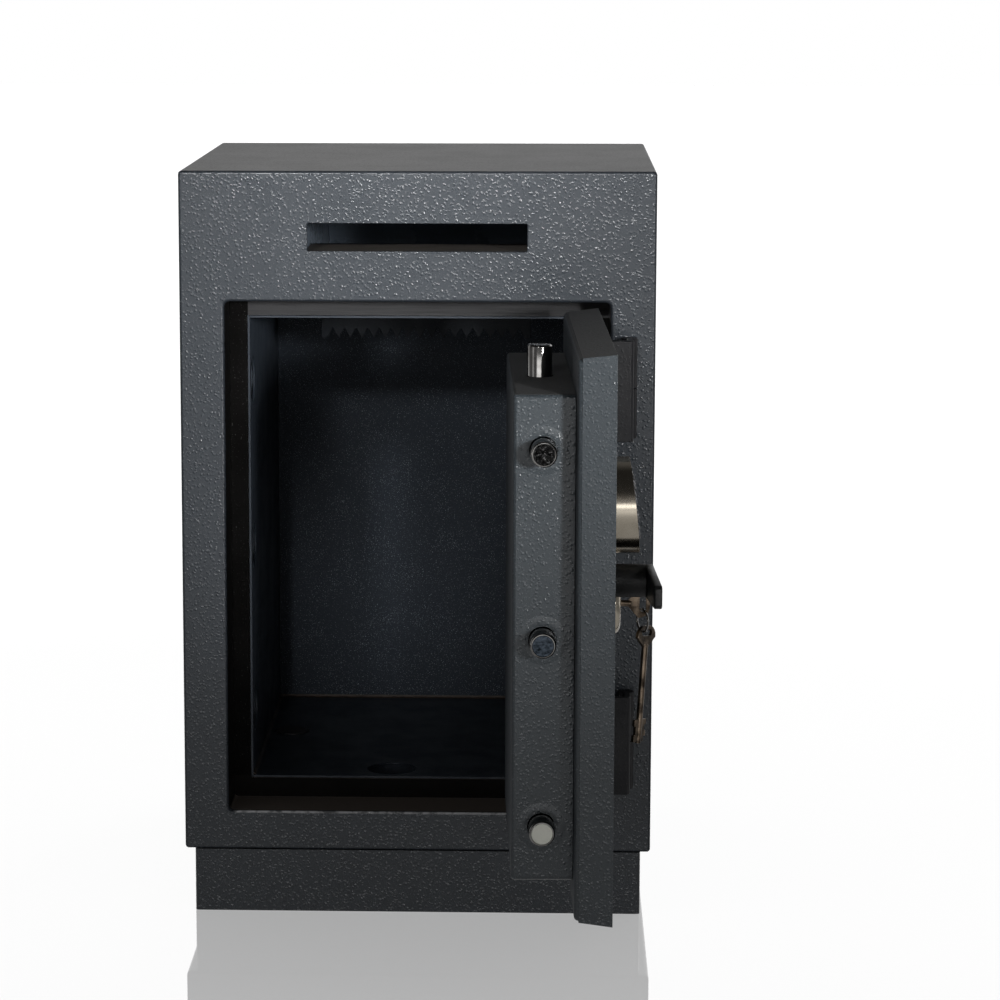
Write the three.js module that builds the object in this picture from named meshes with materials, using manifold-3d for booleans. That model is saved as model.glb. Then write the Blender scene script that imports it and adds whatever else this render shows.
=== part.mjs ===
// Drop safe with a front deposit slot, a toothed chute, a plinth and a door on lift-off hinges.
// Millimetres. X runs to the right of someone facing the door, Y runs into the safe, Z is up.
// The origin is the centre of the plinth's underside. The door stands open with its bolts thrown.

import * as THREE from "three";
import { mergeVertices } from "three/addons/utils/BufferGeometryUtils.js";
import Module from "manifold-3d";

const wasm = await Module();
wasm.setup();

// Cabinet
const width = 350;
const depth = 340;
const bodyHeight = 510;
const plinthHeight = 48;
const plinthInset = 7.4;
const plinthSheet = 3;
const shellSheet = 3;
const shellCorner = 2.5;
const frameEdge = 2.2;
const seam = 0.3;

// Doorway, as cut in the front frame; its sill and head are measured from the cabinet's underside
const doorwayWidth = 284;
const doorwaySill = 29.7;
const doorwayHeight = 384.6;
const doorwayCorner = 4;
const jambSheet = 2.5;
const rebateDepth = 43.5;

// Liner
const ledgeWidth = 15.1;
const linerSheet = 1.5;
const linerFromBack = 24;

// Deposit slot and chute
const slotWidth = 161;
const slotHeight = 20.2;
const slotAboveDoorway = 37.3;
const chuteSideGap = 2.5;
const chuteSheet = 1.5;
const chuteShelf = 75;
const chuteShelfDrop = 1;
const chuteRoofGap = 3;
const lipDistance = 190;
const lipTipsBelowCeiling = 32.3;
const toothPitch = 9.2;
const toothDepth = 8.3;
const chuteFromLinerBack = 12;
const deflectorFromLip = 22;
const dropMargin = 3;

// Hinges
const hingeFromDoorway = 13.5;
const barrelRadius = 6;
const hingeHeight = 74;
const hingeSpacing = 264;
const pinRadius = 3.4;
const pinReach = 30;
const runningGap = 0.4;
const leafThickness = 5;
const leafFoot = 24;
const openAngle = THREE.MathUtils.degToRad(91.7);

// Door slab
const slabGapSide = 2;
const slabGapEnds = 1.3;
const slabThickness = 25.5;
const slabDraft = 2.8;
const slabBend = 3;
const slabCorner = 3.6;
const slabToLedge = 0.8;

// Bolt housing on the back of the slab
const housingSetback = 23;
const housingWidth = 226;
const housingHeight = 328;
const housingThickness = 41.2;
const housingSheet = 2;
const housingBend = 2.4;
const housingCorner = 3;

// Bolts
const boltRadius = 8.6;
const boltDepth = 47;
const boltSpacing = 126.8;
const boltReach = 19.5;
const boltTravel = 20;
const rodReach = 21.5;
const rodTravel = 22;
const boltClearance = 0.8;
const boltChamfer = 1;
const tenonRadius = 4;
const strikeRadius = 18;
const strikeOffset = 3.8;
const strikeCupDepth = 16;
const strikeCupSheet = 1.5;

// Boltwork plate, which the handle slides sideways
const plateSheet = 3;
const plateToBolt = 10.5;
const plateBarWidth = 37;
const plateBarHeight = 287;
const plateFlangeFromWall = 14;
const plateFlangeDepth = 18.5;
const plateWebWidth = 50;
const plateWebHalfHeight = 73.5;
const slotClearance = 0.5;
const crankClearance = 0.9;
const studRadius = 3.3;
const studHalfSpacing = 101.5;
const rodPinHalfSpacing = 65.5;
const rodPinRadius = 3;
const rodStrapWidth = 10;
const rodStrapSheet = 3;
const rodGuideHeight = 8;
const rodGuideHalfSpacing = 111.5;
const rodGuideWall = 5;
const boltworkBaseSheet = 2;

// Handle
const handleAlong = 118;
const handleAboveCentre = 22.2;
const hubRadius = 11.4;
const hubLength = 26.3;
const leverLength = 63;
const leverTipHalf = 8;
const leverThickness = 5.4;
const leverSplay = 2.5;
const spindleRadius = 6;
const spindleInHub = 16;
const crankHubRadius = 12;
const crankThickness = 5;
const crankPinRadius = 3;

// Keypad
const keypadAlong = 140;
const keypadAboveCentre = 71.3;
const keypadRadius = 33.5;
const keypadShort = 15.9;
const keypadTall = 23.1;
const keypadWall = 2;
const keypadFace = 2.4;
const keyColumns = 3;
const keyRows = 4;
const keyPitchX = 12.5;
const keyPitchZ = 11.5;
const keyWidth = 9.4;
const keyHeight = 8;
const keyCorner = 1.6;
const keyProud = 1.6;
const keyFlange = 0.9;
const keyFlangeSheet = 1;
const keyTravel = 1.2;
const boardSheet = 1.6;

// Key lock, its keys and their ring
const lockAlong = 172;
const lockBelowCentre = 4.2;
const escutcheonRadius = 22;
const escutcheonHeight = 11.6;
const plugRadius = 9.5;
const keywayWidth = 2.8;
const keywayHeight = 14.2;
const keyShaftRadius = 2.3;
const bowThickness = 2.4;
const bowLength = 15.4;
const bowWidth = 20.8;
const bowHoleWidth = 4.6;
const bowHoleLength = 12;
const bowHoleFromEnd = 5.2;
const keyLength = 84;
const bitLength = 16;
const bitWidth = 13.2;
const bitThickness = 2.2;
const neckShown = 6.2;
const ringRadius = 8;
const ringWire = 0.9;
const ringTurn = THREE.MathUtils.degToRad(25);
const spareTurn = THREE.MathUtils.degToRad(50);
const ringSlack = 0.6;
const spareHoleOffset = 4.1;
const lockCaseWidth = 44;
const lockCaseHeight = 57;
const lockCaseThickness = 28;
const lockCaseBelow = 30;
const lockBoltWidth = 12;
const lockBoltThickness = 7;
const lockBoltLength = 13;
const lockCaseToArm = 5;
const blockArmHeight = 14;
const blockGap = 3;

// Electronic lock that the keypad works
const solenoidWidth = 27;
const solenoidHeight = 38;
const solenoidThickness = 26;
const solenoidAboveWeb = 8;
const plungerRadius = 3.5;
const plungerShown = 1;

// Anchor points in the floor
const anchorFromWall = 18.9;
const anchorFromRear = 126;
const anchorBore = 6.5;
const anchorPocket = 12.5;
const plugCapRadius = 14;
const plugCapHeight = 1.6;

// Round parts are made of this many sides
const fineSides = 36;
const boltSides = 28;
const coarseSides = 20;

// Places that follow from the sizes above
const halfWidth = width / 2;
const bodyTop = plinthHeight + bodyHeight;
const doorwayLeft = -doorwayWidth / 2;
const doorwayRight = doorwayWidth / 2;
const doorwayBottom = plinthHeight + doorwaySill;
const doorwayTop = doorwayBottom + doorwayHeight;
const cavityHalf = doorwayWidth / 2 - ledgeWidth;
const cavityBottom = doorwayBottom + ledgeWidth + linerSheet;
const cavityTop = doorwayTop - ledgeWidth - linerSheet;
const linerRear = depth - linerFromBack;
const anchorX = cavityHalf - anchorFromWall;
const anchorY = linerRear - anchorFromRear;
const slotBottom = doorwayTop + slotAboveDoorway;
const slotTop = slotBottom + slotHeight;
const chuteHalf = slotWidth / 2 + chuteSideGap;
const chuteRoof = slotTop + chuteRoofGap;
const chuteRear = linerRear - chuteFromLinerBack;
const deflectorStart = lipDistance + deflectorFromLip;
const hingeX = doorwayRight + hingeFromDoorway;
const hingeY = -barrelRadius - seam;
const doorCentre = (doorwayBottom + doorwayTop) / 2;
const boltCentre = doorCentre - 1.5;
const slabFront = rebateDepth - slabToLedge - slabThickness;
const slabRear = slabFront + slabThickness;
const slabLeft = doorwayLeft + slabGapSide;
const slabRight = doorwayRight - slabGapSide;
const slabBottom = doorwayBottom + slabGapEnds;
const slabTop = doorwayTop - slabGapEnds;
const housingLeft = slabLeft + housingSetback;
const housingRight = housingLeft + housingWidth;
const housingBottom = boltCentre - housingHeight / 2;
const housingTop = boltCentre + housingHeight / 2;
const housingRear = slabRear + seam + housingThickness;
const boltY = slabFront + boltDepth;
const boltHeights = [boltCentre + boltSpacing, boltCentre, boltCentre - boltSpacing];
const strikeY = boltY + strikeOffset;
const handleX = slabLeft + handleAlong;
const handleZ = boltCentre + handleAboveCentre;
const crankRadius = boltTravel / Math.SQRT2;
const crankAngle = THREE.MathUtils.degToRad(225);
const crankPinX = handleX + crankRadius * Math.cos(crankAngle);
const crankPinZ = handleZ + crankRadius * Math.sin(crankAngle);
const plateFront = boltY - plateToBolt;
const plateRear = plateFront + plateSheet;
const rodFront = plateRear + 2 * seam;
const rodRear = rodFront + rodStrapSheet;
const crankRear = plateFront - 2 * seam;
const crankFront = crankRear - crankThickness;
const plateLeft = housingLeft + housingSheet + plateFlangeFromWall;
const plateBarRight = plateLeft + plateBarWidth;
const plateWebRight = plateBarRight + plateWebWidth;
const studX = plateBarRight - studRadius - slotClearance - 2;
const rodPinHeights = [boltCentre + rodPinHalfSpacing, boltCentre - rodPinHalfSpacing];
const keypadX = slabLeft + keypadAlong;
const keypadZ = boltCentre + keypadAboveCentre;
const keypadSlope = Math.atan2(keypadTall - keypadShort, 2 * keypadRadius);
const keypadMid = (keypadTall + keypadShort) / 2;
const lockX = slabLeft + lockAlong;
const lockZ = boltCentre - lockBelowCentre;
const lockCaseBottom = lockZ - lockCaseBelow;
const lockCaseTop = lockCaseBottom + lockCaseHeight;
const blockArmBottom = lockCaseTop + lockCaseToArm;
const keyNeckY = slabFront - escutcheonHeight - neckShown;
const ringHoleY = keyNeckY - bowLength + bowHoleFromEnd;
const ringTopZ = lockZ - bowHoleLength / 2 + ringWire + ringSlack;
const ringCentreZ = ringTopZ - ringRadius;
const ringBottomZ = ringCentreZ - ringRadius;

// Finishes
function finish(color, roughness, metalness) {
  return new THREE.MeshStandardMaterial({ color, roughness, metalness });
}
const hammertone = finish("#30363c", 0.45, 0.3);
const insideCoat = finish("#232930", 0.4, 0.3);
const jambPaint = finish("#3a3a3c", 0.5, 0.2);
const chutePaint = finish("#1d2228", 0.25, 0.3);
const blackSteel = finish("#1c1d1f", 0.5, 0.4);
const blackHandle = finish("#17181a", 0.42, 0.3);
const chrome = finish("#c9c9c8", 0.15, 1);
const nickel = finish("#9c9384", 0.32, 1);
const zincSteel = finish("#9aa0a4", 0.4, 0.9);
const brass = finish("#a58a52", 0.35, 1);
const bronzeKey = finish("#7a6652", 0.35, 1);
const castFill = finish("#a7a49c", 0.95, 0);
const circuitGreen = finish("#1f5a3c", 0.6, 0.1);
const keyGrey = finish("#b8babb", 0.35, 0.6);
const blackPlastic = finish("#202225", 0.55, 0);

// Solids: three.js shapes go into manifold only to be joined and cut
function solid(geometry) {
  const bare = geometry.index ? geometry.toNonIndexed() : geometry.clone();
  bare.deleteAttribute("normal");
  bare.deleteAttribute("uv");
  const merged = mergeVertices(bare, 1e-4);
  const vertProperties = new Float32Array(merged.attributes.position.array);
  const triVerts = new Uint32Array(merged.index.array);
  return new wasm.Manifold(new wasm.Mesh({ numProp: 3, vertProperties, triVerts }));
}

function surface(body) {
  const mesh = body.getMesh();
  const geometry = new THREE.BufferGeometry();
  geometry.setAttribute("position", new THREE.BufferAttribute(new Float32Array(mesh.vertProperties), 3));
  geometry.setIndex(new THREE.BufferAttribute(new Uint32Array(mesh.triVerts), 1));
  return geometry;
}

function cut(geometry, ...tools) {
  return surface(tools.reduce((body, tool) => body.subtract(solid(tool)), solid(geometry)));
}

function join(geometry, ...others) {
  return surface(others.reduce((body, other) => body.add(solid(other)), solid(geometry)));
}

function common(geometry, other) {
  return surface(solid(geometry).intersect(solid(other)));
}

function box(x0, x1, y0, y1, z0, z1) {
  const geometry = new THREE.BoxGeometry(x1 - x0, y1 - y0, z1 - z0);
  return geometry.translate((x0 + x1) / 2, (y0 + y1) / 2, (z0 + z1) / 2);
}

// Round bars along each axis
function barX(x0, x1, y, z, radius, sides = coarseSides) {
  const bar = new THREE.CylinderGeometry(radius, radius, x1 - x0, sides).rotateZ(Math.PI / 2);
  return bar.translate((x0 + x1) / 2, y, z);
}

function barY(y0, y1, x, z, radius, sides = coarseSides) {
  return new THREE.CylinderGeometry(radius, radius, y1 - y0, sides).translate(x, (y0 + y1) / 2, z);
}

function barZ(z0, z1, x, y, radius, sides = coarseSides) {
  const bar = new THREE.CylinderGeometry(radius, radius, z1 - z0, sides).rotateX(Math.PI / 2);
  return bar.translate(x, y, (z0 + z1) / 2);
}

// Flat outlines
function outline(points) {
  return new THREE.Shape(points.map(([u, v]) => new THREE.Vector2(u, v)));
}

function roundedRect(u0, u1, v0, v1, radius) {
  const shape = new THREE.Shape();
  const quarter = Math.PI / 2;
  shape.absarc(u1 - radius, v0 + radius, radius, -quarter, 0);
  shape.absarc(u1 - radius, v1 - radius, radius, 0, quarter);
  shape.absarc(u0 + radius, v1 - radius, radius, quarter, 2 * quarter);
  shape.absarc(u0 + radius, v0 + radius, radius, 2 * quarter, 3 * quarter);
  return shape;
}

// A slot with round ends between two points
function slotShape(u0, v0, u1, v1, radius) {
  const heading = Math.atan2(v1 - v0, u1 - u0);
  const quarter = Math.PI / 2;
  const shape = new THREE.Shape();
  shape.absarc(u1, v1, radius, heading - quarter, heading + quarter);
  shape.absarc(u0, v0, radius, heading + quarter, heading + 3 * quarter);
  return shape;
}

// Extrusions: an outline in X and Z runs along Y, one in Y and Z runs along X, one in X and Y along Z
function alongY(shape, y0, y1, steps = 2) {
  const settings = { depth: y1 - y0, bevelEnabled: false, curveSegments: steps };
  return new THREE.ExtrudeGeometry(shape, settings).rotateX(Math.PI / 2).translate(0, y1, 0);
}

const yzBasis = new THREE.Matrix4().makeBasis(
  new THREE.Vector3(0, 1, 0),
  new THREE.Vector3(0, 0, 1),
  new THREE.Vector3(1, 0, 0),
);

function alongX(shape, x0, x1, steps = 2) {
  const settings = { depth: x1 - x0, bevelEnabled: false, curveSegments: steps };
  return new THREE.ExtrudeGeometry(shape, settings).applyMatrix4(yzBasis).translate(x0, 0, 0);
}

function alongZ(shape, z0, z1, steps = 2) {
  const settings = { depth: z1 - z0, bevelEnabled: false, curveSegments: steps };
  return new THREE.ExtrudeGeometry(shape, settings).translate(0, 0, z0);
}

// A plate along Y whose edges are rounded on both faces
function softPlate(shape, y0, y1, radius, steps = 2) {
  const settings = {
    depth: y1 - y0 - 2 * radius,
    bevelEnabled: true,
    bevelThickness: radius,
    bevelSize: radius,
    bevelOffset: -radius,
    bevelSegments: steps,
    curveSegments: 2,
  };
  return new THREE.ExtrudeGeometry(shape, settings).rotateX(Math.PI / 2).translate(0, y1 - radius, 0);
}

// A strip of even thickness that follows points in Y and Z
function strip(points, thickness) {
  const path = points.map(([y, z]) => new THREE.Vector2(y, z));
  const offset = path.map((point, index) => {
    const before = path[Math.max(index - 1, 0)];
    const after = path[Math.min(index + 1, path.length - 1)];
    const first = index > 0 ? point.clone().sub(before).normalize() : after.clone().sub(point).normalize();
    const second = index < path.length - 1 ? after.clone().sub(point).normalize() : first;
    const normal = new THREE.Vector2(-first.y - second.y, first.x + second.x).normalize();
    const stretch = thickness / Math.max(0.5, normal.dot(new THREE.Vector2(-first.y, first.x)));
    return point.clone().addScaledVector(normal, stretch);
  });
  return new THREE.Shape([...path, ...offset.reverse()]);
}

// Centre of mass along Y, for a piece that hangs plumb
function balanceY(geometry) {
  const position = geometry.toNonIndexed().attributes.position;
  const corners = [0, 1, 2].map(() => new THREE.Vector3());
  let volume = 0;
  let moment = 0;
  for (let index = 0; index < position.count; index += 3) {
    corners.forEach((corner, offset) => corner.fromBufferAttribute(position, index + offset));
    const [a, b, c] = corners;
    const part = a.dot(new THREE.Vector3().crossVectors(b, c)) / 6;
    volume += part;
    moment += part * (a.y + b.y + c.y) / 4;
  }
  return moment / volume;
}

function piece(parent, name, geometry, material) {
  const mesh = new THREE.Mesh(geometry, material);
  mesh.name = name;
  parent.add(mesh);
  return mesh;
}

// Front frame: one plate with the doorway and the deposit slot cut in it
function frontFrame() {
  const face = roundedRect(-halfWidth, halfWidth, plinthHeight, bodyTop, shellCorner);
  const doorway = roundedRect(doorwayLeft, doorwayRight, doorwayBottom, doorwayTop, doorwayCorner);
  face.holes.push(doorway);
  const plate = softPlate(face, 0, 2 * shellSheet, frameEdge, 3);
  const front = common(plate, box(-width, width, -1, shellSheet, 0, 2 * bodyTop));
  return cut(front, box(-slotWidth / 2, slotWidth / 2, -1, 2 * shellSheet, slotBottom, slotTop));
}

// Outer shell: top, sides and bottom folded from one sheet
function outerShell() {
  const inner = shellSheet;
  const ring = roundedRect(-halfWidth, halfWidth, plinthHeight, bodyTop, shellCorner);
  ring.holes.push(roundedRect(
    -halfWidth + inner, halfWidth - inner, plinthHeight + inner, bodyTop - inner, 1));
  const shell = alongY(ring, shellSheet + seam, depth - shellSheet - seam);
  const anchors = [-anchorX, anchorX].map((x) =>
    barZ(plinthHeight - 1, plinthHeight + shellSheet + 1, x, anchorY, anchorBore));
  return cut(shell, ...anchors);
}

function backPanel() {
  const face = roundedRect(-halfWidth, halfWidth, plinthHeight, bodyTop, shellCorner);
  const plate = softPlate(face, depth - 2 * shellSheet, depth, frameEdge, 3);
  return common(plate, box(-width, width, depth - shellSheet, depth + 1, 0, 2 * bodyTop));
}

// Plinth: a folded pan with an open top, which the shell stands on
function plinth() {
  const half = halfWidth - plinthInset;
  const rear = depth - plinthInset;
  const outer = roundedRect(-half, half, seam, rear, shellCorner);
  const inner = roundedRect(
    -half + plinthSheet, half - plinthSheet, seam + plinthSheet, rear - plinthSheet, 1);
  const pan = cut(
    alongZ(outer, 0, plinthHeight - seam),
    alongZ(inner, plinthSheet, plinthHeight + 1),
  );
  const anchors = [-anchorX, anchorX].map((x) => barZ(-1, plinthSheet + 1, x, anchorY, anchorBore));
  return cut(pan, ...anchors);
}

// Jamb: the rebate's four walls and the ledge that the closed door meets
function doorJamb() {
  const rear = rebateDepth + jambSheet;
  const wallOuter = roundedRect(
    doorwayLeft - jambSheet, doorwayRight + jambSheet,
    doorwayBottom - jambSheet, doorwayTop + jambSheet, doorwayCorner);
  wallOuter.holes.push(roundedRect(
    doorwayLeft, doorwayRight, doorwayBottom, doorwayTop, doorwayCorner));
  const ledge = roundedRect(
    doorwayLeft - 1, doorwayRight + 1, doorwayBottom - 1, doorwayTop + 1, doorwayCorner);
  const mouth = cavityHalf + linerSheet + seam;
  ledge.holes.push(roundedRect(
    -mouth, mouth, cavityBottom - linerSheet - seam, cavityTop + linerSheet + seam, 1));
  return join(
    alongY(wallOuter, shellSheet + seam, rear),
    alongY(ledge, rebateDepth, rear),
  );
}

// Liner panels round the strongroom
function linerSide(side) {
  const inner = side * cavityHalf;
  const outer = side * (cavityHalf + linerSheet);
  const panel = box(
    Math.min(inner, outer), Math.max(inner, outer), rebateDepth, linerRear,
    cavityBottom - linerSheet, cavityTop + linerSheet);
  if (side > 0) {
    return panel;
  }
  const holes = boltHeights.map((z) => barX(-halfWidth, 0, strikeY, z, strikeRadius, fineSides));
  return cut(panel, ...holes);
}

function linerBack() {
  const half = cavityHalf + linerSheet;
  return box(-half, half, linerRear + seam, linerRear + seam + linerSheet,
    cavityBottom - linerSheet, cavityTop + linerSheet);
}

function linerFloor() {
  const half = cavityHalf - seam;
  const sheet = box(-half, half, rebateDepth, linerRear, cavityBottom - linerSheet, cavityBottom);
  const strike = barZ(0, doorCentre, handleX, strikeY, strikeRadius + 1, fineSides);
  const anchors = [-anchorX, anchorX].map((x) => barZ(0, doorCentre, x, anchorY, anchorPocket));
  return cut(sheet, strike, ...anchors);
}

function linerCeiling() {
  const half = cavityHalf - seam;
  const sheet = box(-half, half, rebateDepth, linerRear, cavityTop, cavityTop + linerSheet);
  const strike = barZ(doorCentre, bodyTop, handleX, strikeY, strikeRadius + 1, fineSides);
  const drop = box(
    -chuteHalf, chuteHalf, lipDistance - chuteSheet - dropMargin, chuteRear - dropMargin,
    doorCentre, bodyTop);
  return cut(sheet, strike, drop);
}

// Cast fill between the shell and the liner, with pockets where the bolts and anchors go
function fillBlock() {
  const inset = shellSheet + seam;
  const cast = box(
    -halfWidth + inset, halfWidth - inset, inset, depth - inset, plinthHeight + inset, bodyTop - inset);
  const jambGap = jambSheet + seam;
  const rebate = box(
    doorwayLeft - jambGap, doorwayRight + jambGap, 0, rebateDepth + jambGap,
    doorwayBottom - jambGap, doorwayTop + jambGap);
  const linerGap = linerSheet + seam;
  const room = box(
    -cavityHalf - linerGap, cavityHalf + linerGap, 0, linerRear + seam + linerGap,
    cavityBottom - linerGap, cavityTop + linerGap);
  const chuteGap = chuteSheet + seam;
  const chute = box(
    -chuteHalf - chuteGap, chuteHalf + chuteGap, 0, chuteRear + chuteGap,
    cavityTop, chuteRoof + chuteGap);
  const cupReach = strikeCupDepth + strikeCupSheet + 2 * seam;
  const cupRadius = strikeRadius + 1 + strikeCupSheet + 2 * seam;
  const sideCup = box(
    -cavityHalf - linerGap - cupReach, -cavityHalf, strikeY - cupRadius, strikeY + cupRadius,
    boltHeights[2] - cupRadius, boltHeights[0] + cupRadius);
  const floorCup = barZ(cavityBottom - linerGap - cupReach, cavityBottom, handleX, strikeY, cupRadius);
  const headCup = barZ(cavityTop, cavityTop + linerGap + cupReach, handleX, strikeY, cupRadius);
  const anchors = [-anchorX, anchorX].map((x) =>
    barZ(plinthHeight, cavityBottom, x, anchorY, anchorPocket));
  return cut(cast, rebate, room, chute, sideCup, floorCup, headCup, ...anchors);
}

// Pockets behind the strike holes
function strikeChannel() {
  const face = -cavityHalf - linerSheet - seam;
  const rear = face - strikeCupDepth - strikeCupSheet;
  const reach = strikeRadius + strikeCupSheet;
  const outer = box(rear, face, strikeY - reach, strikeY + reach,
    boltHeights[2] - reach, boltHeights[0] + reach);
  const inner = box(rear + strikeCupSheet, face + 1,
    strikeY - strikeRadius, strikeY + strikeRadius,
    boltHeights[2] - strikeRadius, boltHeights[0] + strikeRadius);
  return cut(outer, inner);
}

function strikeCup(face, direction) {
  const bottom = face + direction * (strikeCupDepth + strikeCupSheet);
  const inside = face + direction * strikeCupDepth;
  const radius = strikeRadius + 1;
  const outer = barZ(Math.min(face, bottom), Math.max(face, bottom), handleX, strikeY,
    radius + strikeCupSheet);
  const mouth = face - direction;
  const inner = barZ(Math.min(mouth, inside), Math.max(mouth, inside), handleX, strikeY, radius);
  return cut(outer, inner);
}

// Plastic cap over an anchor hole
function anchorCap(x) {
  const profile = [
    [0, -plugCapHeight * 3],
    [anchorPocket - seam, -plugCapHeight * 3],
    [anchorPocket - seam, seam],
    [plugCapRadius, seam],
    [plugCapRadius, seam + plugCapHeight / 2],
    [anchorPocket - 2, seam + plugCapHeight],
    [0, seam + plugCapHeight],
  ];
  const points = profile.map(([radius, height]) => new THREE.Vector2(radius, height));
  const cap = new THREE.LatheGeometry(points, coarseSides).rotateX(Math.PI / 2);
  return cap.translate(x, anchorY, cavityBottom);
}

// Chute: a hood of roof, sides and back, open below, over a floor that ends in a toothed lip
function chuteHood() {
  const bottom = cavityTop + linerSheet + seam;
  const outer = box(-chuteHalf - chuteSheet, chuteHalf + chuteSheet,
    shellSheet + seam, chuteRear + chuteSheet, bottom, chuteRoof + chuteSheet);
  const inner = box(-chuteHalf, chuteHalf, 0, chuteRear, 0, chuteRoof);
  const jamb = box(-width, width, 0, rebateDepth + jambSheet + seam, 0, doorwayTop + jambSheet + seam);
  return cut(outer, inner, jamb);
}

function chuteFloor() {
  const half = chuteHalf - seam;
  const shelfZ = slotBottom - chuteShelfDrop;
  const lipTop = cavityTop + linerSheet + 2 * seam;
  const lipTips = cavityTop - lipTipsBelowCeiling;
  const bend = 4;
  const profile = strip([
    [lipDistance, lipTips],
    [lipDistance, lipTop],
    [lipDistance - bend / 2, lipTop + bend],
    [chuteShelf + bend, shelfZ - chuteSheet - bend / 2],
    [chuteShelf, shelfZ - chuteSheet],
    [shellSheet + seam, shelfZ - chuteSheet],
  ], -chuteSheet);
  const sheet = alongX(profile, -half, half);
  const teeth = Math.floor(2 * half / toothPitch);
  const start = -teeth * toothPitch / 2;
  const comb = [[-half - 1, lipTips - 1], [-half - 1, lipTips], [start, lipTips]];
  for (let index = 0; index < teeth; index += 1) {
    comb.push([start + (index + 0.5) * toothPitch, lipTips + toothDepth]);
    comb.push([start + (index + 1) * toothPitch, lipTips]);
  }
  comb.push([half + 1, lipTips], [half + 1, lipTips - 1]);
  return cut(sheet, alongY(outline(comb), lipDistance - 2 * bend, lipDistance + 2 * bend));
}

function chuteDeflector() {
  const half = chuteHalf - seam;
  const top = chuteRoof - seam;
  const bottom = cavityTop + linerSheet + seam;
  const steps = 8;
  const curve = [];
  for (let index = 0; index <= steps; index += 1) {
    const turn = (index / steps) * (Math.PI / 2);
    curve.push([
      deflectorStart + (chuteRear - seam - deflectorStart) * Math.sin(turn),
      bottom + (top - bottom) * Math.cos(turn),
    ]);
  }
  return alongX(strip(curve, -chuteSheet), -half, half);
}

// Hinges: the lower knuckle is welded to the frame, the upper one to a cranked leaf on the door
function hingeCentre(index) {
  return boltCentre + (index === 0 ? 1 : -1) * hingeSpacing / 2;
}

function lowerKnuckle(index) {
  const centre = hingeCentre(index);
  const bottom = centre - hingeHeight / 2;
  const top = centre - seam;
  const barrel = barZ(bottom, top, hingeX, hingeY, barrelRadius);
  const back = box(hingeX - barrelRadius, hingeX + barrelRadius, hingeY, -seam, bottom, top);
  const bore = barZ(centre - pinReach - seam, top + 1, hingeX, hingeY, pinRadius + seam);
  return cut(join(barrel, back), bore);
}

function hingePin(index) {
  const centre = hingeCentre(index);
  const shaft = barZ(centre - pinReach, centre + pinReach - 2, hingeX, hingeY, pinRadius);
  const tip = new THREE.CylinderGeometry(pinRadius * 0.5, pinRadius, 2, coarseSides).rotateX(Math.PI / 2);
  return join(shaft, tip.translate(hingeX, hingeY, centre + pinReach - 1));
}

function hingeLeaf(index) {
  const centre = hingeCentre(index);
  const bottom = centre - hingeHeight / 2;
  const top = centre + hingeHeight / 2;
  const legRight = slabRight - 1.5;
  const legLeft = legRight - leafThickness;
  const armFront = hingeY - leafThickness / 2;
  const armRear = hingeY + leafThickness / 2;
  const faceY = slabFront - seam;
  const bend = 2;
  const leg = outline([
    [legLeft, armFront + bend],
    [legLeft + bend, armFront],
    [legRight, armFront],
    [legRight, faceY],
    [legRight - leafFoot, faceY],
    [legRight - leafFoot, faceY - leafThickness + 1],
    [legLeft, faceY - leafThickness],
  ]);
  const arm = box(legRight - 1, hingeX, armFront, armRear, centre + seam, top);
  const barrel = barZ(centre + seam, top, hingeX, hingeY, barrelRadius);
  const bore = barZ(centre - 1, centre + pinReach + 2 * seam, hingeX, hingeY, pinRadius + runningGap);
  return cut(join(alongZ(leg, bottom, top), arm, barrel), bore);
}

// Door slab: drafted edges, sharp at the front and folded round at the rear, bored for the fittings
function doorSlab() {
  const rearFace = roundedRect(
    slabLeft + slabDraft, slabRight - slabDraft, slabBottom + slabDraft, slabTop - slabDraft,
    slabCorner);
  const slab = softPlate(rearFace, slabFront - slabBend, slabRear, slabBend, 3);
  const core = common(slab, box(-width, width, slabFront, depth, 0, bodyTop));
  const skirt = frustum();
  const bores = [
    barY(slabFront - 1, slabRear + 1, handleX, handleZ, spindleRadius + runningGap),
    barY(slabFront - 1, slabRear + 1, lockX, lockZ, plugRadius + runningGap),
  ];
  return cut(join(core, skirt), ...bores);
}

// The slab's drafted sides, from the full front face to where the fold begins
function frustum() {
  const shrink = slabDraft * (slabThickness - slabBend) / slabThickness;
  const y0 = slabFront;
  const y1 = slabRear - slabBend;
  const front = [
    [slabLeft, slabBottom], [slabRight, slabBottom], [slabRight, slabTop], [slabLeft, slabTop]];
  const rear = [
    [slabLeft + shrink, slabBottom + shrink], [slabRight - shrink, slabBottom + shrink],
    [slabRight - shrink, slabTop - shrink], [slabLeft + shrink, slabTop - shrink]];
  const positions = [
    ...front.flatMap(([x, z]) => [x, y0, z]),
    ...rear.flatMap(([x, z]) => [x, y1, z]),
  ];
  const index = [0, 1, 2, 0, 2, 3, 4, 6, 5, 4, 7, 6];
  for (let side = 0; side < 4; side += 1) {
    const next = (side + 1) % 4;
    index.push(side, side + 4, next + 4, side, next + 4, next);
  }
  const geometry = new THREE.BufferGeometry();
  geometry.setAttribute("position", new THREE.Float32BufferAttribute(positions, 3));
  geometry.setIndex(index);
  return geometry;
}

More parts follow.
